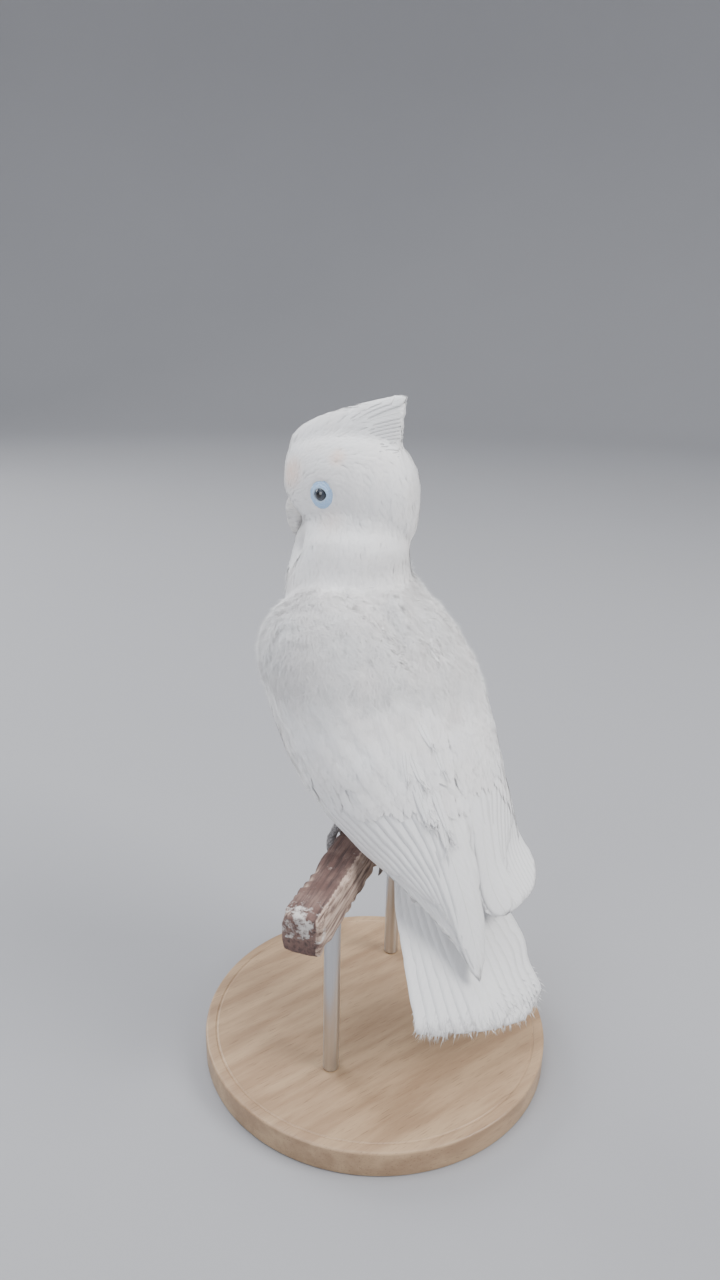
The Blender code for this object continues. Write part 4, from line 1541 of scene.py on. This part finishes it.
class COCKATOO_OT_wings(bpy.types.Operator):
    """Primaries, secondaries, tertials and coverts of both wings"""
    bl_idname = "cockatoo.wings"
    bl_label = "Wings"

    def execute(self, context):
        sizes = settings("plumage")
        for name, hand in SIDES:
            wing = Wing("wing_" + name, hand)
            quill = Quill(f"wing_feathers_{name}", sizes.seed + 10 + hand)
            rng = quill.rng
            primaries, secondaries = 9, 12
            for k in range(primaries):
                share = k / (primaries - 1)
                start = (0.40 + 0.06 * share, 0.50 + 0.44 * share)
                end = (0.985 - 0.14 * share ** 1.5, 0.40 + 0.52 * share)
                wing_feather(quill, wing, start, end, (6.4 - 2.6 * share) * MM,
                             (-1.25 - 0.03 * k) * MM, tilt=0.2 * hand, ragged=0.012, tip=0.1,
                             camber=0.05, sink=1.2)
            for k in range(secondaries):
                share = k / (secondaries - 1)
                start = (0.27 + rng.uniform(-0.01, 0.01), 0.04 + 0.88 * share)
                end = (0.955 - 0.31 * share + rng.uniform(-0.015, 0.015), 0.12 + 0.68 * share)
                wing_feather(quill, wing, start, end, (8.2 - 2.2 * share) * MM,
                             (-0.45 - 0.03 * k) * MM, tilt=0.2 * hand, ragged=0.02, tip=0.2,
                             camber=0.05, fray=3, sink=1.6)
            for start, end, half in TERTIALS:
                wing_feather(quill, wing, start, end, half * MM, -0.22 * MM, tilt=0.12 * hand,
                             ragged=0.015, tip=0.3, camber=0.12, sink=1.4, hug=hand < 0)
            if hand < 0:
                quill.shift(self.flare)
            quill.finish(vane_finish(f"wing_plumage_{name}"))
        self.coverts(sizes)
        self.parting(sizes)
        return {"FINISHED"}

    @staticmethod
    def flare(points):
        """The outer primaries of the right wing fan out near their ends."""
        low = 0.126 - points[:, 2]
        edge = eased((points @ np.array((-0.79, 0.61, 0)) - 0.045) / 0.022)
        share = edge * eased(low / 0.032) * eased((points[:, 2] - 0.085) / 0.010)
        return points + np.array((-9.5, 2.0, 0)) * MM * share[:, None] \
            + np.array((0, 0, 6 * MM)) * (edge * eased((low - 0.020) / 0.018))[:, None]

    def coverts(self, sizes):
        """Soft feathers from the down of the mantle to the long feathers of both wings."""
        x, y, z = Body.points.T
        wave = (ripples(Body.points, 70) + 0.7 * ripples(Body.points, 190)) * 0.025
        cover = Body.part("wing_left", "wing_right", "trunk") & (y > WING_FRONT)
        cover &= Body.outward() > 0.0
        low = 0.166 - 0.014 * (Body.part("wing_right") & (x < -0.05))
        cover &= (z + wave * 0.2 < 0.212) & ((z + wave > low) | Body.part("trunk"))
        patterns = kinds(plume_pattern, 130, 10, 15, 0.2)
        for name, part in (("left", x > COVERT_PARTING), ("right", x <= COVERT_PARTING)):
            roots = spots(cover & part, 1.65 * MM, sizes.seed + 17 + (name == "left"))
            fade = np.clip((roots.z - 0.155) / 0.03, 0.3, 1)
            long = sizes.body * roots.draw(0.9, 1.3)
            flush = 0.4 * (1 - fade) * MM
            heights = (-1.2 * MM, -0.1 * MM - flush, 0.25 * fade * MM - flush,
                       (-0.05 + 0.3 * fade * roots.rng.random(roots.count)) * MM - flush)
            tufted("covert_feathers_" + name, roots, patterns, long, long * 0.22, heights,
                   0.12 * fade * MM, plume_finish("covert_plumage_" + name, 0.88, 0.4), tilt=0.12,
                   blend=0.92, surface=Body.bed)

    def parting(self, sizes):
        """Ruffled feathers along the crease between the wings."""
        quill = Quill("parting_feathers", sizes.seed + 15)
        rng = quill.rng
        for k in range(11):
            top = 210 - 4.2 * k
            turn = 17 + rng.normal(0, 4) + 3 * (-1) ** k
            back_feather(quill, (top, turn), (top - rng.uniform(20, 34), turn + rng.normal(-1, 4)),
                         rng.uniform(1.8, 3.0) * MM, 0.25 * MM, ragged=0.12, fray=26, tip=0.6,
                         thick=0.08, lift=rng.uniform(0.1, 0.7), sink=1.8, camber=0.15,
                         surface=Body.bed)
        quill.finish(vane_finish("parting_plumage"))


class COCKATOO_OT_tail(bpy.types.Operator):
    """Twelve tail feathers with worn, fraying ends"""
    bl_idname = "cockatoo.tail"
    bl_label = "Tail"

    def execute(self, context):
        sizes = settings("plumage")
        form, _ = surface_of(["tail"])
        points = node_points("tail")
        top = points[points[:, 2] > points[:, 2].max() - 0.012].mean(0)
        low = points[points[:, 2] < points[:, 2].min() + 0.02].mean(0)
        down = unit(low - top)
        across = unit(np.array((1.0, 0, 0)) - down * down[0])
        out = np.cross(across, down)
        local = (points - top) @ np.array([across, down, out]).T
        quill = Quill("tail_feathers", sizes.seed + 20, columns=8)
        rng = quill.rng
        reach_low, reach_high = local[:, 0].min(), local[:, 0].max()
        many = 12
        for k in range(many):
            share = (k + 0.5) / many
            goal = reach_low + (reach_high - reach_low) * share
            nearby = np.abs(local[:, 0] - goal) < 9 * MM
            end = local[nearby, 1].max() - rng.uniform(2.0, 4.5) * MM
            aside = abs(k - (many - 1) / 2)
            goal = goal * 0.9
            line, facing = [], []
            for t in np.linspace(0, 1, 30):
                side = goal * (0.40 + 0.60 * t ** 0.9)
                length_now = -4 * MM + (end + 4 * MM) * t
                place = top + across * side + down * length_now + out * 20 * MM
                hit = form.ray_cast(Vector(place), -Vector(out), 40 * MM)[0]
                line.append(np.array(hit) if hit is not None else place - out * 21.5 * MM)
                facing.append(out)
            quill.add(smooth_line(line, 30), np.array(facing), 8.6 * MM, -(0.4 + aside * 0.26) * MM,
                      camber=0.3, surface=form, thick=0.22, ragged=0.08,
                      fray=90 if aside < 4 else 150, tip=0.06, root=0.6)
        quill.shift(self.spread)
        quill.finish(vane_finish("tail_plumage"))
        return {"FINISHED"}

    @staticmethod
    def spread(points):
        """The right edge of the tail is wider half way down than its straight fan."""
        share = eased((points[:, 2] - 0.054) / 0.016) * eased((-0.032 - points[:, 0]) / 0.020)
        return points - np.array((5 * MM, 0, 0)) * share[:, None]


# Eye ring and lids from the inner edge out: distance from the eye's axis and height, in mm.
LIDS = ((2.8, -0.6), (2.95, 0.35), (3.15, 0.9), (3.5, 1.1), (3.9, 0.95), (4.4, 0.8), (4.9, 0.72),
        (5.4, 0.52), (6.0, 0.2), (6.8, -0.5), (6.2, -1.6), (4.4, -2.2), (3.2, -2.0))


class COCKATOO_OT_eyes(bpy.types.Operator):
    """Glossy eyes with lids and a bare blue ring"""
    bl_idname = "cockatoo.eyes"
    bl_label = "Eyes"

    def execute(self, context):
        sizes = settings("head")
        for name, hand in SIDES:
            axis = (HEAD_FORWARD * 0.2 + HEAD_LEFT * hand + HEAD_UP * 0.04).normalized()
            low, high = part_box("eye_ring_" + name)
            middle = (low + high) / 2
            self.ball(name, middle - axis * 3.3 * MM, axis, sizes.eye)
            self.ring(name, middle, axis)
        return {"FINISHED"}

    def ball(self, name, centre, axis, radius):
        piece = primitive("uv_sphere", segments=48, ring_count=32, radius=radius, location=centre,
                          rotation=axis.to_track_quat("Z", "Y").to_euler())
        settle(piece)
        points = points_of(piece.data)
        gap = points - np.array(centre)
        forward = gap @ np.array(axis)
        bulge = np.clip((forward / radius - 0.62) / 0.38, 0, 1)
        move_points(piece.data, points + np.array(axis) * (bulge ** 1.4 * 0.3 * MM)[:, None])
        bpy.ops.object.shade_smooth()
        piece.name = piece.data.name = f"eyeball_{name}"
        dress(piece, eye_finish(name, centre, axis), "eye", "eye_" + name)

    def ring(self, name, middle, axis):
        """The bare ring and lids, from inside the lid's edge out under the feathers."""
        forward = (HEAD_FORWARD - axis * HEAD_FORWARD.dot(axis)).normalized()
        up = axis.cross(forward).normalized()
        if up.dot(HEAD_UP) < 0:
            up = -up
        turns, points, lie = 72, [], []
        for k in range(turns):
            turn = 2 * math.pi * k / turns
            corner = abs(math.cos(turn)) ** 6
            for r, h in LIDS:
                wave = 1 + 0.012 * math.sin(turn * 9 + r * 3) + 0.01 * math.sin(turn * 17 + r)
                wide = (r + (0.3 * corner if 2.7 < r < 4 else 0)) * (wave if r > 3.2 else 1)
                tall = wide * (1.0 + 0.06 * (r > 4))
                if r < 3.2 and h > -0.7:
                    tall *= 0.93
                crease = 0.09 * math.sin(turn * 11 + r * 5) * (3.6 < r < 6.5)
                flat = forward * math.cos(turn) * wide + up * math.sin(turn) * tall
                slope = 0.0
                if r > 4:
                    spot = middle + flat * MM
                    near = Body.form.find_nearest(spot)[0]
                    slope = (near - spot).dot(axis) / MM * min(1, (r - 4) / 2)
                    slope = max(-2.5, min(2.5, slope))
                points.append(middle + (flat + axis * (h + crease + slope - 0.55)) * MM)
                lie.append((min(1, max(0, (r - 2.55) / 4.5)), k / turns))
        many = len(LIDS)
        index = np.arange(turns * many).reshape(turns, many)
        following = np.roll(index, -1, axis=0)
        quads = np.stack([index, np.roll(index, -1, 1), np.roll(following, -1, 1), following], -1)
        piece = built(f"lids_{name}", np.array(points), [quads.reshape(-1, 4)], np.array(lie))
        outwards(piece)
        modified(piece, "SUBSURF", levels=1, render_levels=1)
        dress(piece, ring_finish(name), "eye_ring_skin", "eye_ring_" + name)


class COCKATOO_OT_bill(bpy.types.Operator):
    """Both halves of the bill, smoothed and layered like real horn"""
    bl_idname = "cockatoo.bill"
    bl_label = "Bill"

    def execute(self, context):
        form, _ = surface_of(["bill_upper"])
        nostrils = []
        for _, hand in SIDES:
            hit = form.ray_cast(head_point(60, 2.3 * hand, -8.2), -HEAD_FORWARD)[0]
            if hit is None:
                raise RuntimeError("no bill in front of the nostril's place")
            nostrils.append(hit)
        material = horn_finish(nostrils)
        for node, name in (("bill_upper", "upper_mandible"), ("bill_lower", "lower_mandible")):
            piece = remeshed(copied(name, [node]), 0.4 * MM, 6)
            points, normals = points_of(piece.data), normals_of(piece.data)
            local = local_to_head(points)
            ripple = ripples(points, 260) + 0.5 * ripples(points, 700)
            flakes = np.clip([noise.noise(Vector(p) * 420 + Vector((3, 1, 7))) - 0.12
                              for p in points], 0, 1)
            low = np.clip((-14 - local[:, 2]) / 10, 0, 1)
            growth = 0.055 * np.sin(local[:, 2] * 3.1 + ripple * 3)
            relief = ripple * 0.07 + growth * low - 0.5 * flakes * low
            if node == "bill_upper":
                ridge = np.exp(-(local[:, 1] / 0.9) ** 2)
                relief += 0.4 * ridge * np.clip((local[:, 0] - 27) / 3, 0, 1)
                relief -= 0.5 * np.exp(-((np.abs(local[:, 1]) - 2.4) / 1.3) ** 2) * low
                relief += 0.35 * np.clip((local[:, 2] + 12.5) / 2.2, 0, 1)
                for nostril in nostrils:
                    gap = np.linalg.norm(points - np.array(nostril), axis=1) / MM
                    relief += 0.35 * np.exp(-((gap - 1.3) / 0.5) ** 2) - np.exp(-(gap / 0.75) ** 2)
            move_points(piece.data, points + normals * (relief * MM)[:, None])
            dress(piece, material, "bill_horn", node)
        return {"FINISHED"}


class COCKATOO_OT_claws(bpy.types.Operator):
    """Eight dark claws"""
    bl_idname = "cockatoo.claws"
    bl_label = "Claws"

    def execute(self, context):
        nodes = ["claw_" + toe for toe in TOES]
        piece = copied("claws", nodes)
        modified(piece, "SUBSURF", levels=1, render_levels=1)
        bpy.ops.object.shade_smooth()
        dress(piece, claw_finish(), "claw_horn", *nodes)
        return {"FINISHED"}


PERCH_TURN = 33     # degrees from the x axis to the perch's length


class COCKATOO_OT_perch(bpy.types.Operator):
    """Squared timber, weathered on top and gnawed along its edges"""
    bl_idname = "cockatoo.perch"
    bl_label = "Perch"

    def execute(self, context):
        bite = settings("display").gnawed
        piece = remeshed(copied("timber_perch", ["perch"]), 0.95 * MM, 2)
        mesh = piece.data
        points, normals = points_of(mesh), normals_of(mesh)
        low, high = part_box("perch")
        middle = np.array((low + high) / 2)
        turn = math.radians(PERCH_TURN)
        way = np.array((math.cos(turn), math.sin(turn), 0))
        aside = np.array((-math.sin(turn), math.cos(turn), 0))
        gap = points - middle
        along, across, tall = gap @ way, gap @ aside, gap[:, 2]
        half_wide, half_tall = np.abs(across).max(), np.abs(tall).max()
        def lumps(a, c, t):
            """Noise at places stretched along the timber's own axes."""
            return np.array([noise.noise(Vector(p)) for p in np.broadcast(a, c, t)])

        edge = (np.abs(across) / half_wide + np.abs(tall) / half_tall - 1.35) / 0.6
        chew = np.maximum(0, lumps(along * 170, across * 60, 3) + 0.12)
        chew += 0.3 * np.maximum(0, lumps(along * 260, tall * 200, 9))
        patchy = 0.7 + 1.6 * lumps(along * 38, across * 40, 21)
        gnaw = np.clip(edge, 0, 1) * chew * np.clip(patchy, 0.15, 1) * 1.9
        grain = np.abs(lumps(along * 90, across * 900, tall * 900))
        dents = np.maximum(0, lumps(along * 60, across * 200, tall * 200))
        depth = 0.10 * grain + 0.25 * dents + gnaw * bite / MM
        side = across > half_wide * 0.72
        fresh = 0.62 + 0.5 * lumps(along * 102, across * 340, tall * 340)
        raw = np.minimum(1, gnaw * 1.6 + side * fresh)
        move_points(mesh, points - normals * (depth * MM)[:, None])
        float_attribute(mesh, "raw", raw)
        upper = tall > -0.2 * half_tall
        float_attribute(mesh, "lime", np.clip((along - 0.02) / 0.05, 0, 1) * upper)
        dress(piece, timber_finish(), "timber", "perch")
        return {"FINISHED"}


class COCKATOO_OT_stand(bpy.types.Operator):
    """Round base with a turned edge, and two steel rods"""
    bl_idname = "cockatoo.stand"
    bl_label = "Stand"

    def execute(self, context):
        self.base()
        for rod in ("stand_rod_1", "stand_rod_2"):
            self.rod(rod)
        return {"FINISHED"}

    @staticmethod
    def cylinder(node, sides):
        low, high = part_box(node)
        return primitive("cylinder", vertices=sides, radius=(high.x - low.x) / 2,
                         depth=high.z - low.z, location=(low + high) / 2)

    def base(self):
        piece = self.cylinder("stand_base", 128)
        bpy.ops.object.mode_set(mode="EDIT")
        bpy.ops.mesh.select_all(action="DESELECT")
        bpy.ops.object.mode_set(mode="OBJECT")
        for face in piece.data.polygons:
            face.select = face.normal.z > 0.9
        bpy.ops.object.mode_set(mode="EDIT")
        bpy.ops.mesh.inset(thickness=5 * MM)
        for way in (-1, 1):
            bpy.ops.mesh.inset(thickness=0.8 * MM)
            bpy.ops.transform.translate(value=(0, 0, way * 0.9 * MM))
        bpy.ops.object.mode_set(mode="OBJECT")
        settle(piece)
        turned(piece, "stand_board", 1.4 * MM, 4)
        dress(piece, board_finish(), "stand_board", "stand_base")

    def rod(self, node):
        piece = self.cylinder(node, 48)
        settle(piece)
        turned(piece, node.replace("rod", "steel_rod"), 0.5 * MM, 3)
        dress(piece, steel_finish(), "stand_steel", node)


# Softboxes: name, place, size, power and colour.
SOFTBOXES = (("key_softbox", (-0.9, 1.5, 1.5), 1.1, 30, (1.0, 0.985, 0.96)),
             ("fill_softbox", (1.7, 0.5, 0.9), 1.3, 11, (0.93, 0.96, 1.0)),
             ("top_softbox", (0.1, -0.3, 1.9), 1.4, 16, (0.96, 0.98, 1.0)),
             ("rim_softbox", (0.4, -1.7, 1.0), 0.9, 12, (1.0, 1.0, 1.0)))
SKY_SHARE = 0.55     # strength of the even light of the room, as a share of the softboxes'
FLOOR_REACH, BACKDROP_BEND, BACKDROP_TOP = 2.2, 1.1, 3.2     # in metres

# The camera, above and to the left of the bird's back: its place, axes and roll.
CAMERA_PLACE = (0.2782, 0.3357, 0.3900)
CAMERA_WAY = Vector((-0.5778, -0.7395, -0.3453))
CAMERA_RIGHT, CAMERA_UP = Vector((-0.788, 0.6157, 0)), Vector((-0.2126, -0.2721, 0.9385))
CAMERA_ROLL = math.radians(1.3)
SENSOR_WIDTH, NEAREST_SEEN = 36, 0.01


class COCKATOO_OT_stage(bpy.types.Operator):
    """Pale floor that curves up into a backdrop, soft lights and the camera"""
    bl_idname = "cockatoo.stage"
    bl_label = "Stage"

    def execute(self, context):
        self.backdrop()
        self.lights()
        self.camera()
        return {"FINISHED"}

    def backdrop(self):
        rows = [(0.0, 0.0), (0.6, 0.0), (1.6, 0.0), (FLOOR_REACH, 0.0)]
        rows += [(FLOOR_REACH + BACKDROP_BEND * math.sin(t), BACKDROP_BEND * (1 - math.cos(t)))
                 for t in np.linspace(0.1, 1.5, 14)]
        rows.append((FLOOR_REACH + BACKDROP_BEND + 0.05, BACKDROP_TOP))
        turns = 96
        points = [(0, 0, 0)]
        for r, z in rows[1:]:
            points += [(r * math.cos(turn), r * math.sin(turn), z)
                       for turn in (2 * math.pi * k / turns for k in range(turns))]
        ring = np.arange(turns)
        following = (ring + 1) % turns
        centre = np.stack([np.zeros(turns, int), ring + 1, following + 1], 1)
        quads = []
        for row in range(len(rows) - 2):
            low, high = 1 + row * turns, 1 + (row + 1) * turns
            quads.append(np.stack([low + ring, high + ring, high + following, low + following], 1))
        piece = built("floor", np.array(points), [centre, np.concatenate(quads)])
        piece.data.materials.append(floor_finish())

    def lights(self):
        strength = settings("stage").light
        for name, place, size, power, shade in SOFTBOXES:
            light = bpy.data.lights.new(name, "AREA")
            light.size, light.energy, light.color = size, power * strength, shade
            lamp = bpy.data.objects.new(name, light)
            lamp.location = place
            aim = Vector((0, 0, 0.2)) - Vector(place)
            lamp.rotation_euler = aim.to_track_quat("-Z", "Y").to_euler()
            bpy.context.scene.collection.objects.link(lamp)
        world = bpy.data.worlds.new("studio")
        world.use_nodes = True
        inputs = world.node_tree.nodes["Background"].inputs
        inputs["Color"].default_value = (*Tone.sky, 1)
        inputs["Strength"].default_value = SKY_SHARE * strength
        bpy.context.scene.world = world

    def camera(self):
        turn, rise = math.cos(CAMERA_ROLL), math.sin(CAMERA_ROLL)
        right = CAMERA_RIGHT * turn + CAMERA_UP * rise
        up = CAMERA_UP * turn - CAMERA_RIGHT * rise
        data = bpy.data.cameras.new("camera")
        data.lens = settings("stage").lens / MM
        data.sensor_width, data.sensor_fit, data.clip_start = SENSOR_WIDTH, "AUTO", NEAREST_SEEN
        camera = bpy.data.objects.new("camera", data)
        camera.matrix_world = Matrix((right, up, -CAMERA_WAY)).transposed().to_4x4()
        camera.location = CAMERA_PLACE
        bpy.context.scene.collection.objects.link(camera)
        bpy.context.scene.camera = camera


class COCKATOO_PT_panel(bpy.types.Panel):
    """Lists the pieces and their sizes"""
    bl_idname = "COCKATOO_PT_panel"
    bl_label = "Perched cockatoo"
    bl_space_type = "VIEW_3D"
    bl_region_type = "UI"
    bl_category = "Cockatoo"

    def draw(self, context):
        for name, group in GROUPS.items():
            box = self.layout.box()
            box.label(text=name.capitalize())
            for key in group.__annotations__:
                box.prop(settings(name), key)
        for operator in OPERATORS:
            self.layout.operator(operator.bl_idname)


OPERATORS = (COCKATOO_OT_skin, COCKATOO_OT_face, COCKATOO_OT_crest, COCKATOO_OT_down,
             COCKATOO_OT_body, COCKATOO_OT_wings, COCKATOO_OT_tail, COCKATOO_OT_eyes,
             COCKATOO_OT_bill, COCKATOO_OT_claws, COCKATOO_OT_perch, COCKATOO_OT_stand,
             COCKATOO_OT_stage)


def register():
    for name, group in GROUPS.items():
        bpy.utils.register_class(group)
        setattr(bpy.types.Scene, "cockatoo_" + name, bpy.props.PointerProperty(type=group))
    for made in (*OPERATORS, COCKATOO_PT_panel):
        bpy.utils.register_class(made)


def unregister():
    for made in (COCKATOO_PT_panel, *reversed(OPERATORS)):
        bpy.utils.unregister_class(made)
    for name, group in GROUPS.items():
        delattr(bpy.types.Scene, "cockatoo_" + name)
        bpy.utils.unregister_class(group)


def main():
    register()
    for operator in OPERATORS:
        group, name = operator.bl_idname.split(".")
        getattr(getattr(bpy.ops, group), name)()


if __name__ == "__main__":
    main()
